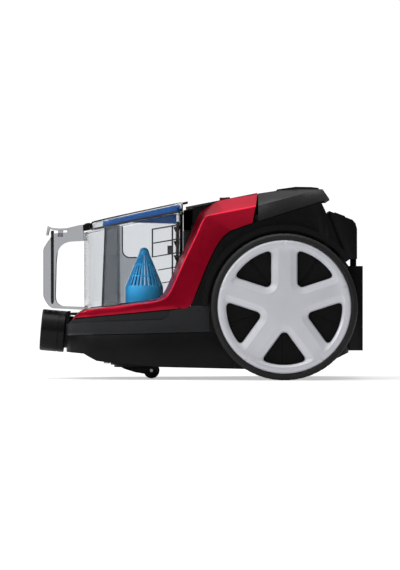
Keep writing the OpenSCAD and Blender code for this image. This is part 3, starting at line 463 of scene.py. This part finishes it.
def wheel_disc(side):
    """Dished wheel behind the hubcap, with a hub and ribs."""
    plate = disc_in + 9
    bore = 6.4
    profile = [(bore, disc_in), (13, disc_in), (14, disc_in + 1), (14, plate - 1), (76, plate),
               (78, plate - 1), (79.5, disc_in + 1.6), (cap_r, disc_in + 1.6), (cap_r, disc_out),
               (80, disc_out), (78, disc_out - 1.5), (76.5, plate + 3.5), (73, plate + 2.6),
               (16, plate + 2.6), (14.4, plate + 4), (14, disc_out - 1), (13, disc_out), (bore, disc_out)]
    parts = [lathe(profile, (axle_x, 0, axle_z), steps=144)]
    for i in range(2 * SPOKES):
        a = math.radians(18 + 36 * i)
        along, across = np.array([math.cos(a), 0, math.sin(a)]), np.array([-math.sin(a), 0, math.cos(a)])
        rib = []
        for r, top in ((13, 7.5), (40, 5.5), (77, 5.0)):
            for wd, h in ((-0.9, 2.0), (-0.7, top), (0.7, top), (0.9, 2.0)):
                rib.append(np.array([axle_x, plate + h, axle_z]) + along * r + across * wd)
        parts.append(loft([rib[0:4], rib[4:8], rib[8:12]]))
    new_piece("wheel_" + side + "_disc", *join(parts), side + "_wheel", SHELL_BLACK, flip_y=side == "left",
              cad=["wheel_" + side], sharp=40)


# ---------------------------------------------------------------- red trims

# the upper edge, the crease and the lower edge of a trim, from the nose to the tail cover
TRIM_A = [(-160.8, 66, 78.2), (-154.4, 64, 84.6), (-145.6, 62, 89), (-113.9, 68, 92.8), (-82.3, 71, 97.2),
          (-60.8, 72, 101), (-50.6, 72, 104.8), (-44.3, 72, 112.4), (-35.4, 72, 132.1), (-25.3, 72, 154.2),
          (-12.7, 72, 182.7), (-2.5, 72, 206.7), (2.5, 72, 213.2), (10.1, 72, 218.4), (24.1, 71.5, 226),
          (72.6, 71, 234.9)]
TRIM_B = [(-159.3, 68.6, 77.9), (-152.4, 76, 84), (-143.5, 82.5, 87.7), (-112.1, 96.5, 91.7),
          (-80.6, 103, 95.9), (-56.7, 104.2, 98.9), (-44.1, 104, 103.9), (-37.1, 103.6, 113.1),
          (-27.7, 103, 133.3), (-17.6, 102, 155.9), (-5, 101, 182.4), (4.4, 100, 203.1), (8.8, 99.6, 206.7),
          (17.6, 99.3, 208.6), (35.3, 99, 211.9), (70.2, 99, 218.9)]
TRIM_C = [(-158.5, 69.8, 77.5), (-148.5, 79.3, 78.3), (-135.9, 87.2, 79.4), (-107, 98.6, 82.2),
          (-75.5, 104, 85.1), (-50.3, 104.7, 87.5), (-30.2, 105, 89.5), (-13.8, 105, 91.8),
          (-3.8, 105, 111.9), (8.8, 105, 143.3), (18.9, 105, 164.7), (27.7, 105, 178), (37.7, 105, 186.9),
          (45.3, 105, 189.6), (54.1, 105, 193), (65.6, 105, 196.9)]


def section(a, b, c, thick=2.6, crease=2.0, lip=0.7):
    """Closed section of a folded band with edges a and c and a crease b, each of them rounded."""
    ab, cb = b - a, b - c
    la, lc = max(np.linalg.norm(ab), 0.01), max(np.linalg.norm(cb), 0.01)
    ua, uc = ab / la, cb / lc
    k1, k2 = min(crease, la * 0.3), min(crease, lc * 0.3)
    e1, e2 = min(lip, la * 0.2), min(lip, lc * 0.2)
    mid = (b - ua * k1 + b - uc * k2 + 2 * b) / 4
    down_a = np.array([0, 0, -1.0]) * thick
    down_c = np.array([0, -1.0, 0]) * thick
    centre = b + np.array([0, -0.7, -0.7]) * thick
    return [a + down_a * 0.3, a + ua * e1, a + ua * la * 0.5, b - ua * k1, mid, b - uc * k2,
            c + uc * lc * 0.5, c + uc * e2, c + down_c * 0.3, c + down_c, centre, a + down_a]


def trim(side):
    """Folded red band, lofted along its three edges."""
    a, b, c = (smooth_line(p, 6) for p in (TRIM_A, TRIM_B, TRIM_C))
    v, f = loft([section(a[i], b[i], c[i]) for i in range(len(a))])
    new_piece("trim_" + side + "_band", v, f, "chassis", RED, flip_y=side == "left", cad=["trim_" + side],
              sharp=60)


# ---------------------------------------------------------------- skirt, with its raised ledge

NOSE_X, NOSE_HALF, TAPER_X, HALF_W = -170.0, 44.0, -60.0, 104.0


def plan(x):
    """Half width of the body at x."""
    if x >= TAPER_X:
        return HALF_W
    u = max(0.0, 1 - ((TAPER_X - x) / (TAPER_X - NOSE_X))**2)
    return NOSE_HALF + (HALF_W - NOSE_HALF) * math.sqrt(u)


def seam_z(x):
    """Height of the seam between skirt and bottom shell."""
    return 59.2 + 0.0245 * x


SKIRT_TOP = [(-167, 70), (-165, 76.6), (-158, 76.8), (-35, 88.4), (-14.5, 91), (-12.5, 93.3), (12, 93.4)]
SKIRT_LEDGE = [(-170, 71.4), (-150, 72.6), (-125.8, 73.5), (-75.5, 75.4), (-46.5, 76.4), (-43.5, 77.5),
               (-40.3, 80.4), (-35.2, 88.6), (12, 100)]
SEAM_GAP, LEDGE_STEP, SKIRT_WALL = 0.4, 2.6, 3.6


def skirt(side):
    """Side skirt lofted along the body's plan, with its upper part set back behind the ledge."""
    tail = mm_box("side_panel_" + side)[1][0]
    angles = np.radians(np.linspace(4, 90, 30))
    xs = [TAPER_X - (TAPER_X - NOSE_X) * math.cos(a) for a in angles]
    xs += list(np.linspace(TAPER_X, tail, 26)[1:])
    rings = []
    for x in xs:
        top = float(np.interp(x, *zip(*SKIRT_TOP)))
        ledge = min(float(np.interp(x, *zip(*SKIRT_LEDGE))), top - 0.9)
        bottom = seam_z(x) + SEAM_GAP
        ledge = max(ledge, bottom + 4)
        y = plan(x)
        step = LEDGE_STEP * min(1.0, max(0.0, (top - ledge - 0.9) / 2))
        wave = [(0.9, bottom), (0.0, bottom + 0.9), (0.0, bottom + 4.0), (0.35, (bottom + ledge) / 2),
                (0.0, ledge - 1.4), (0.1, ledge - 0.5), (step * 0.6, ledge + 0.1), (step, ledge + 0.5),
                (step, top - 0.4), (step + 0.4, top), (SKIRT_WALL, top), (SKIRT_WALL, bottom)]
        nx, ny = 0.0, 1.0
        if x < TAPER_X:
            back = 0.5 if x > NOSE_X + 1 else 0.0
            d = (plan(x + 0.5) - plan(x - back)) / (0.5 + back)
            length = math.hypot(1, d)
            nx, ny = -d / length, 1 / length
        rings.append([(x - nx * o, y - ny * o, z) for o, z in wave])
    v, f = loft(rings)
    new_piece("skirt_" + side, v, f, "chassis", SKIRT_GREY, flip_y=side == "left", cad=["side_panel_" + side],
              sharp=45)


for makers in ((hubcap, tyre, wheel_disc), (trim,), (skirt,)):
    for side in ("left", "right"):
        for make in makers:
            make(side)

# ---------------------------------------------------------------- hose collar and caster

TILT = math.radians(5)
COLLAR_R, SOCKET_R, COLLAR_P = 26.4, 18.5, np.array([-171.1, 0, 59.6])


def along_socket(points):
    """Points drawn about local Z, moved onto the hose socket's axis."""
    p = np.array(points, float)
    c, s = math.cos(TILT), math.sin(TILT)
    x = -p[:, 2] * c - p[:, 0] * s
    z = p[:, 2] * s - p[:, 0] * c
    return np.column_stack([x, p[:, 1], z]) + COLLAR_P


v, f = lathe([(SOCKET_R, 1.4), (COLLAR_R - 0.7, 1.4), (COLLAR_R - 0.15, 1.9), (COLLAR_R, 2.6),
              (COLLAR_R, 9.6), (COLLAR_R - 0.45, 9.9), (COLLAR_R - 0.45, 10.5), (COLLAR_R, 10.8),
              (COLLAR_R, 30.4),
              (COLLAR_R - 0.25, 31.4), (COLLAR_R - 1, 32.2), (COLLAR_R - 1.8, 32.3), (SOCKET_R + 2.2, 32.3),
              (SOCKET_R + 0.8, 31.9), (SOCKET_R, 30.6), (SOCKET_R, 16), (SOCKET_R + 0.5, 15.6),
              (SOCKET_R + 0.5, 13.6), (SOCKET_R, 13.2)], (0, 0, 0), axis="z", steps=128)
new_piece("hose_collar", along_socket(v), f, "chassis", SATIN_BLACK, cad=["inlet_collar"], sharp=45)

from_cad("caster_swivel_fork", "caster_fork", SATIN_BLACK, bevel=0.8)
roller_low, roller_high = mm_box("caster_roller")
roller_c = (roller_low + roller_high) / 2
rr, rw, pin_r = (roller_high[2] - roller_low[2]) / 2, roller_high[1] - roller_low[1], 2.1
v, f = lathe([(pin_r, 0), (rr - 1.6, 0), (rr - 0.5, 0.5), (rr, 1.6), (rr, rw - 1.6), (rr - 0.5, rw - 0.5),
              (rr - 1.6, rw), (pin_r, rw)], (roller_c[0], roller_low[1], roller_c[2]), steps=72)
new_piece("caster_tread", v, f, "roller", SEAL, cad=["caster_roller"], sharp=45)

# ---------------------------------------------------------------- shells and covers

from_cad("base_shell", "bottom_shell", SHELL_BLACK, bevel=1.2, limit=40)
from_cad("rear_dock_block", "rear_dock", SATIN_BLACK, bevel=1.6)
from_cad("tail_door", "exhaust_door", SATIN_BLACK, bevel=0.7)
from_cad("deck_lip", "top_deck", GLOSS_BLACK, bevel=1.0)
# the slider wears the trim's red darkened as painted shade
from_cad("slide_switch", "power_slider", SHADED_RED, bevel=0.7)
from_cad("tail_cover", "rear_cover", COVER_GREY, bevel=0.8, dissolve=4)
from_cad("pedal_power", "power_pedal", COVER_GREY, bevel=1.0)
from_cad("pedal_rewind", "rewind_pedal", COVER_GREY, bevel=1.0)
from_cad("cord_gland", "cord_outlet", SEAL)
from_cad("body_housing", "main_housing", SATIN_BLACK, dissolve=1)
from_cad("bucket_cradle", "cradle", SATIN_BLACK, bevel=0.6)
from_cad("latch_key", "door_latch", COVER_GREY, bevel=0.5)

# ---------------------------------------------------------------- dust bucket

RIM_SLOPE, LID_SLOPE, WALL = 0.203, 0.213, 2.6
shell_low, shell_high = mm_box("bucket_shell")
FLOOR = shell_low[2]
BUCKET_NOSE, BUCKET_TAIL, BUCKET_HALF = shell_low[0], shell_high[0], shell_high[1]
STRAIGHT, CORNER = -88.0, 12.0


def rim_z(x):
    """Height of the bucket's rim."""
    return 186.5 + RIM_SLOPE * (x + 148)


def lid_top(x):
    """Height of the lid's upper face."""
    return 198 + LID_SLOPE * (x + 148)


def bucket_loop(inset, front=56, back=10, side=10):
    """Closed plan outline of the bucket, as X and Y."""
    half = [(STRAIGHT - (STRAIGHT - BUCKET_NOSE - inset) * math.cos(math.radians(a)),
             (BUCKET_HALF - inset) * math.sin(math.radians(a))) for a in np.linspace(0, 90, front)]
    round_r = max(CORNER - inset, 1.0)
    x1, y1 = BUCKET_TAIL - inset - round_r, BUCKET_HALF - inset - round_r
    half += [(STRAIGHT + (x1 - STRAIGHT) * t, BUCKET_HALF - inset) for t in np.linspace(0, 1, side)[1:-1]]
    half += [(x1 + round_r * math.sin(math.radians(a)), y1 + round_r * math.cos(math.radians(a)))
             for a in np.linspace(0, 90, back)]
    return half + [(x, -y) for x, y in reversed(half[1:])]


def clear_piece(obj):
    """Lamps shine through the clear walls."""
    obj.visible_shadow = False
    return obj


outer, inner = bucket_loop(0), bucket_loop(WALL)
n = len(outer)
at_rim = [rim_z(x) for x, y in outer]
rows = [(bucket_loop(3.0), [FLOOR] * n), (bucket_loop(0.9), [FLOOR + 0.8] * n), (outer, [FLOOR + 3.0] * n)]
rows += [(outer, [FLOOR + 3 + (z - 2.4 - FLOOR - 3) * t for z in at_rim]) for t in np.linspace(0, 1, 12)[1:]]
rows += [(bucket_loop(inset), [z - drop for z in at_rim])
         for inset, drop in ((-0.6, 1.9), (-0.6, 0.3), (0.2, 0), (WALL - 0.3, 0))]
rows += [(inner, [FLOOR + 4 + (z - 0.4 - FLOOR - 4) * t for z in at_rim]) for t in np.linspace(1, 0, 12)]
rows += [(bucket_loop(WALL + 1), [FLOOR + 2.9] * n), (bucket_loop(WALL + 4), [FLOOR + 2.6] * n)]
v, f = loft([[(x, y, z) for (x, y), z in zip(loop, zs)] for loop, zs in rows])
clear_piece(new_piece("dust_bucket", v, f, "bucket", SMOKE, cad=["bucket_shell"], sharp=50))

# carrying handle: its outline, its finger hole, and the radius of each corner
GRIP_OUT = [(-149.2, 196.4), (-153.6, 196), (-166.4, 193), (-169.4, 192.2), (-169.6, 186.7),
            (-187.5, 185.2), (-190.7, 180), (-198.2, 169.3), (-200.2, 165), (-200.2, 105.3), (-198.2, 100.2),
            (-193.3, 92.8), (-188.8, 89.6), (-148.4, 87.8)]
GRIP_HOLE = [(-148.4, 175.9), (-167.7, 174.9), (-175.4, 172.1), (-180.5, 166.8), (-182.4, 161.6),
             (-183.8, 148.8), (-184.3, 125.8), (-185, 102.8), (-183, 96.4), (-176.6, 92.2), (-148.4, 91.4)]
GRIP_ROUND = [1, 2, 4, 1, 1, 3, 4, 3, 5, 6, 5, 6, 5, 0.5] + [0.5, 8, 6, 4, 10, 10, 6, 6, 6, 8, 0.5]
grip = rounded(GRIP_OUT + GRIP_HOLE[::-1], GRIP_ROUND, 5)
v, f = slab(grip, -16, 16)
clear_piece(new_piece("carry_handle", v, f, "bucket", HANDLE, cad=["bucket_handle"], bevel=4.0, seg=5,
                      limit=50))

HINGE = [(-149.2, 188.6), (-140.2, 190), (-140.2, 192.4), (-143, 197.4), (-149.2, 196.4)]
bars("hinge_block", [(HINGE, -27, -8.4), (HINGE, 8.4, 27)], "bucket", SATIN_BLACK, 0.6, node="latch_rod")
from_cad("thumb_lever", "release_lever", HANDLE, bevel=0.7)

# rod in the handle's leg: it stops short of the foot, so that it stays inside when the lever is pressed
rod_low, rod_high = mm_box("latch_rod")
ROD_GAP, ROD_TAPER = 4.2, 0.9
rod_foot = rod_low[2] + ROD_GAP
rod = [(rod_low[0] + ROD_TAPER, rod_foot), (rod_high[0] - ROD_TAPER, rod_foot), (rod_high[0], rod_foot + 3),
       (rod_high[0], rod_high[2]), (rod_low[0], rod_high[2]), (rod_low[0], rod_foot + 3)]
bars("catch_rod", [(rod, rod_low[1], rod_high[1])], "plunger", GRILLE, 0.5, cad=["latch_rod"])

LID_FRONT, CAP_FRONT, CAP_TAIL = -138.5, -123.0, -24.0


def lid_loop(inset):
    """Plan outline of the lid."""
    return [(max(x, LID_FRONT + inset), y) for x, y in bucket_loop(inset)]


# rings of the lid: inset, whether it follows rim or top, and height above that
lid_rows = [(0.6, "rim", 0.3), (0.0, "rim", 0.9), (0.0, "top", -2.6), (0.4, "top", -1.0), (1.4, "top", -0.25),
            (3.0, "top", 0.0), (14.0, "top", 0.35), (26.0, "top", 0.45)]
under = [(26.0, "top", -2.2), (3.4, "top", -2.6), (2.5, "top", -4.0), (2.5, "rim", 0.4)]
rings = []
for inset, kind, dz in lid_rows + under:
    rings.append([(x, y, (rim_z(x) if kind == "rim" else lid_top(x)) + dz) for x, y in lid_loop(inset)])
v, f = loft(rings, closed_path=True)
top = len(lid_rows) - 1
n = len(rings[0])
f += [tuple(range(top * n, top * n + n)), tuple(reversed(range((top + 1) * n, (top + 2) * n)))]
f = [q for q in f if not (len(q) == 4 and {i // n for i in q} == {top, top + 1})]
clear_piece(new_piece("bucket_lid_cover", v, f, "lid", SMOKE, cad=["bucket_lid"], sharp=40))


def cap_loop(inset):
    """Plan outline of the blue cap."""
    return [(min(max(x, CAP_FRONT), CAP_TAIL), y) for x, y in bucket_loop(inset)]


CAP_GAP, CAP_ROUND = 3.6, 0.8
rings = []
for inset, lift in ((CAP_ROUND, 0.0), (0.0, CAP_ROUND)):
    rings.append([(x, y, rim_z(x) + 1.2 + lift) for x, y in cap_loop(CAP_GAP + inset)])
for inset, lift in ((0.0, CAP_ROUND), (CAP_ROUND, 0.0)):
    rings.append([(x, y, lid_top(x) - 3.0 - lift) for x, y in cap_loop(CAP_GAP + inset)])
v, f = loft(rings)
new_piece("blue_cap", v, f, "lid", CAP_BLUE, cad=["cyclone_cap"], sharp=50)
wedge = [(-86, 198.9), (-29.6, 197.9), (-29.6, rim_z(-29.6) - 0.6), (-86, rim_z(-86) - 0.4)]
v, f = slab(wedge, -46, 46)
new_piece("cap_wedge", v, f, "lid", CAP_BLUE, node="cyclone_cap", bevel=0.5)
from_cad("lid_gasket", "lid_seal", SEAL)

# rear tab and front hinge of the lid
HINGE_X = -144.0
shapes = [([(-25, lid_top(-25) - 2.4), (-15.6, lid_top(-15.6) - 2.5), (-15.6, lid_top(-15.6) - 0.1),
            (-25, lid_top(-25) - 0.2)], -23.8, 23.8),
          ([(HINGE_X - 4.4, 191.6), (HINGE_X - 1, 190.2), (-137.6, 191.6), (-137.6, 198.4),
            (HINGE_X + 1, 198.9), (HINGE_X - 3.5, 197.8)], -8, 8)]
bars("lid_hinge_and_tab", shapes, "lid", SATIN_BLACK, 0.6, node="bucket_lid")

# slotted cone
cone_low, cone_high = mm_box("cyclone_cone")
cone_x, cone_r = (cone_low[0] + cone_high[0]) / 2, (cone_high[0] - cone_low[0]) / 2
FOOT, TIP_R = 117.0, 6.0
TIP = cone_high[2] - TIP_R


SLOTS, SLOT_STEPS, SLOT_OPEN = 26, 8, (1, 2, 3, 4)
SLOT_ROWS = ((119.2, 130.6), (132.4, 145.2), (147.0, 158.4))


def cone_edge(z):
    """Radius of the cone's outside at height z."""
    return cone_r if z < FOOT else cone_r + (TIP_R - cone_r) * (z - FOOT) / (TIP - FOOT)


def cone_profile():
    """(radius, height, slotted) from the foot to the tip."""
    pts = [(cone_r, cone_low[2], 0), (cone_r, FOOT - 2, 0), (cone_r - 0.2, FOOT, 0)]
    for z0, z1 in SLOT_ROWS:
        for i in range(7):
            z = z0 + (z1 - z0) * i / 6
            pts.append((cone_edge(z), z, 1 if i < 6 else 0))
    for a in np.linspace(20, 90, 8):
        pts.append((TIP_R * math.cos(math.radians(a)), TIP + TIP_R * math.sin(math.radians(a)), 0))
    return pts


pts = cone_profile()
count = SLOTS * SLOT_STEPS
turns = [2 * math.pi * k / count for k in range(count)]
rings = [(max(r, 0.02), z) for r, z, _ in pts]
verts = [(cone_x + r * math.cos(t), r * math.sin(t), z) for r, z in rings for t in turns]
faces = []
for j in range(len(pts) - 1):
    for k in range(count):
        if pts[j][2] and k % SLOT_STEPS in SLOT_OPEN:
            continue
        k2 = (k + 1) % count
        faces.append((j * count + k, j * count + k2, (j + 1) * count + k2, (j + 1) * count + k))
cone = new_piece("slotted_cone", verts, faces, "bucket", BLUE, cad=["cyclone_cone"], sharp=60, weighted=False)
mod = cone.modifiers.new("wall", "SOLIDIFY")
mod.thickness, mod.offset = 1.3 * MM, -1

clear_piece(from_cad("riser_channel", "riser_duct", INNER, bevel=0.6))

# dark joint along the riser's front corners
JOINT = [(-125.4, 90), (-123.9, 90), (-119.9, 192), (-121.3, 192)]
bars("riser_joint", [(JOINT, -17.3, -16.1), (JOINT, 16.1, 17.3)], "bucket", COVER_GREY, 0.2,
     node="riser_duct")

# flat web between riser and cone, with a rounded notch above it and a dark lip round the notch
WEB_LEFT, WEB_POST, NOTCH_Z, NOTCH_R, LIP_R = -105.6, -99.3, 154.6, 9.5, 0.75
notch = arc(WEB_POST + NOTCH_R, NOTCH_Z + NOTCH_R, NOTCH_R, 180, 270, 10)
beside = [(cone_x - cone_edge(z) - 0.4, z) for z in (NOTCH_Z, FOOT, FLOOR + 4)]
web_outline = [(WEB_LEFT, 194), (WEB_POST, 195)] + notch + beside + [(WEB_LEFT, FLOOR + 4)]
v, f = slab(web_outline, -1.3, 1.3)
clear_piece(new_piece("baffle_web", v, f, "bucket", INNER, cad=["cyclone_baffle"], sharp=40))


def wire(path, radius, half_wide, sides=8):
    """A bar with an oval section, along a flat path in the middle plane."""
    p = [np.array(q, float) for q in path]
    rings = []
    for i, q in enumerate(p):
        d = p[min(i + 1, len(p) - 1)] - p[max(i - 1, 0)]
        across = np.array([-d[1], d[0]]) / np.linalg.norm(d) * radius
        turns = np.linspace(0, 2 * math.pi, sides, endpoint=False)
        rings.append([(q[0] + across[0] * math.cos(t), half_wide * math.sin(t),
                       q[1] + across[1] * math.cos(t)) for t in turns])
    return loft(rings)


lip = [(WEB_POST, 194 - 4 * k) for k in range(7)] + notch + [(beside[0][0], NOTCH_Z)]
v, f = wire(lip, LIP_R, LIP_R * 2.2)
new_piece("baffle_lip", v, f, "bucket", SEAL, node="louvre_grid", sharp=60)

# louvre grid: sloping blades between two side frames
BLADES = [(-61.4, 190), (-61.4, 172), (-61.4, 154.6), (-53.5, 138), (-48.5, 121.5)]
BLADE_SLOPE, BLADE_END = 0.17, -27.0
shapes = []
for x, z in BLADES:
    rise = BLADE_SLOPE * (BLADE_END - x)
    shapes.append(([(x, z), (BLADE_END, z + rise), (BLADE_END, z + rise + 1.2), (x, z + 1.0)], -33.5, 33.5))
for y in (-33.9, 31.2):
    shapes.append((rect(-61.5, 155.2, -60.3, 190.8), y, y + 2.7))
    shapes.append((rect(-36.2, 101, -34.6, 195.6), y, y + 2.7))
    shapes.append((rect(-41.4, 158.6, -36, 169.6), y, y + 2.7))
bars("louvre_lattice", shapes, "bucket", GRILLE, 0.25, cad=["louvre_grid"])

# ribbed frame of the bucket's outlet, with gussets under its shelves
shapes = []
for y0, y1 in ((-39.5, -34.3), (34.3, 39.5)):
    shapes.append((rect(-29, 100.4, -25.9, 196), y0, y1))
    for z in (120, 138, 156, 174, 192):
        shapes.append(([(-33.6, z + 1.4), (-33.4, z), (-25.8, z - 10), (-25.8, z + 1.6)], y0 + 1.2, y1 - 1.2))
shapes.append((rect(-29, 100.4, -26, 105.5), -34.2, 34.2))
shapes.append((rect(-29, 190.5, -26, 196), -34.2, 34.2))
for y0, y1 in ((-47, -36), (36, 47)):
    shapes.append((rect(-29.5, 160, -25.8, 200), y0, y1))
bars("outlet_frame", shapes, "bucket", COVER_GREY, 0.4, node="louvre_grid")


def deck_z(x):
    """Height of the deck's upper face."""
    return 221.8 + 0.195 * x


# dark cheeks that close the gap between bucket and deck
CHEEK = [(-21.1, 188), (-7.6, 188), (-7.6, deck_z(-7.6) - 3.6), (-17.5, deck_z(-17.5) - 3.6), (-21.1, 214)]
shapes = [(CHEEK, -66, -27), (CHEEK, 27, 66)]
shapes.append((rect(-12.6, 188, -7.8, deck_z(-12) - 3.8), -26.8, 26.8))
bars("deck_cheeks", shapes, "chassis", SATIN_BLACK, 0.8, node="main_housing")

# coil springs under the pedals, each given a mesh of its own
for side in ("power", "rewind"):
    spring = from_cad(side + "_coil", side + "_spring", STEEL)
    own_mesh(spring)

# inner flange that the tail door closes over
FLANGE = [(158.4, 211.2), (166, 208.2), (172.5, 198), (180, 178), (187, 157), (181, 156.6)]
bars("door_flange", [(FLANGE, -60.8, -57.6), (FLANGE, 57.6, 60.8)], "chassis", SATIN_BLACK, 0.6,
     node="main_housing")

# ---------------------------------------------------------------- floor, light and camera

def seen_direct(tree):
    """1 for rays that come straight from the camera or through a clear wall, else 0."""
    ray = tree.nodes.new("ShaderNodeLightPath")
    direct = tree.nodes.new("ShaderNodeMath")
    direct.operation = "MAXIMUM"
    tree.links.new(ray.outputs["Is Camera Ray"], direct.inputs[0])
    tree.links.new(ray.outputs["Is Transmission Ray"], direct.inputs[1])
    return direct.outputs[0]


FLOOR_REACH = 30
# the floor's own light: in reflections, near the object, and far from it
GLOW_INDIRECT, GLOW_NEAR, GLOW_FAR, NEAR, FAR = 0.05, 0.5, 0.75, 0.7, 2.0

floor = bpy.data.meshes.new("floor")
floor.from_pydata([(x * FLOOR_REACH, y * FLOOR_REACH, 0) for x, y in ((-1, -1), (1, -1), (1, 1), (-1, 1))],
                  [], [(0, 1, 2, 3)])
floor_obj = bpy.data.objects.new("floor", floor)
bpy.context.scene.collection.objects.link(floor_obj)
mat, tree, shader = base_material("pale_floor")
socket_defaults(shader, {"Base Color": (0.8, 0.8, 0.8, 1), "Roughness": 0.75, "Specular IOR Level": 0.1,
                         "Emission Color": (1, 1, 1, 1)})
lift = tree.nodes.new("ShaderNodeMapRange")
socket_defaults(lift, {"To Min": GLOW_INDIRECT})
tree.links.new(seen_direct(tree), lift.inputs["Value"])
place = tree.nodes.new("ShaderNodeTexCoord")
reach = tree.nodes.new("ShaderNodeVectorMath")
reach.operation = "LENGTH"
far = tree.nodes.new("ShaderNodeMapRange")
socket_defaults(far, {"From Min": NEAR, "From Max": FAR, "To Min": GLOW_NEAR, "To Max": GLOW_FAR})
tree.links.new(place.outputs["Object"], reach.inputs[0])
tree.links.new(reach.outputs["Value"], far.inputs["Value"])
tree.links.new(far.outputs["Result"], lift.inputs["To Max"])
tree.links.new(lift.outputs["Result"], shader.inputs["Emission Strength"])
floor.materials.append(mat)


AIM = Vector((0, 0, 0.12))
# name, place, size in metres, power in watts
LAMPS = [("overhead", (-0.3, -0.1, 1.9), 1.5, 13), ("front_left", (-1.5, -2.3, 1.5), 1.3, 9),
         ("nose", (-2.1, -0.5, 1.1), 0.8, 11), ("back", (0.9, 1.7, 1.3), 1.2, 1.5)]
for name, place, size, power in LAMPS:
    lamp = bpy.data.lights.new(name, "AREA")
    lamp.energy, lamp.size = power, size
    lamp_obj = bpy.data.objects.new(name, lamp)
    lamp_obj.location = place
    lamp_obj.rotation_euler = (AIM - Vector(place)).to_track_quat("-Z", "Y").to_euler()
    bpy.context.scene.collection.objects.link(lamp_obj)

# a dome that is dark at the horizon and bright overhead, in front of a white backdrop
DOME_LOW, DOME_HIGH, BACKDROP = 0.015, 0.66, 1.05
world = bpy.data.worlds.new("studio")
bpy.context.scene.world = world
world.use_nodes = True
tree = world.node_tree
background = tree.nodes["Background"]
coords = tree.nodes.new("ShaderNodeTexCoord")
split = tree.nodes.new("ShaderNodeSeparateXYZ")
tree.links.new(coords.outputs["Generated"], split.inputs[0])
dome = tree.nodes.new("ShaderNodeMapRange")
background.inputs["Color"].default_value = (1, 1, 1, 1)
socket_defaults(dome, {"From Min": 0.1, "From Max": 0.95, "To Min": DOME_LOW, "To Max": DOME_HIGH})
tree.links.new(split.outputs["Z"], dome.inputs["Value"])
mix = tree.nodes.new("ShaderNodeMix")
mix.data_type = "FLOAT"
tree.links.new(seen_direct(tree), mix.inputs[0])
tree.links.new(dome.outputs["Result"], mix.inputs[2])
mix.inputs[3].default_value = BACKDROP
tree.links.new(mix.outputs[0], background.inputs["Strength"])

CAMERA_DISTANCE, CAMERA_HEIGHT, LENS = 6.0, 0.1194, 296.0
camera = bpy.data.cameras.new("camera")
camera.lens, camera.sensor_width = LENS, 36
camera.clip_end = 100
camera_obj = bpy.data.objects.new("camera", camera)
camera_obj.location = (0, -CAMERA_DISTANCE, CAMERA_HEIGHT)
camera_obj.rotation_euler = (math.pi / 2, 0, 0)
bpy.context.scene.collection.objects.link(camera_obj)
bpy.context.scene.camera = camera_obj
bpy.context.scene.view_settings.view_transform = "Standard"
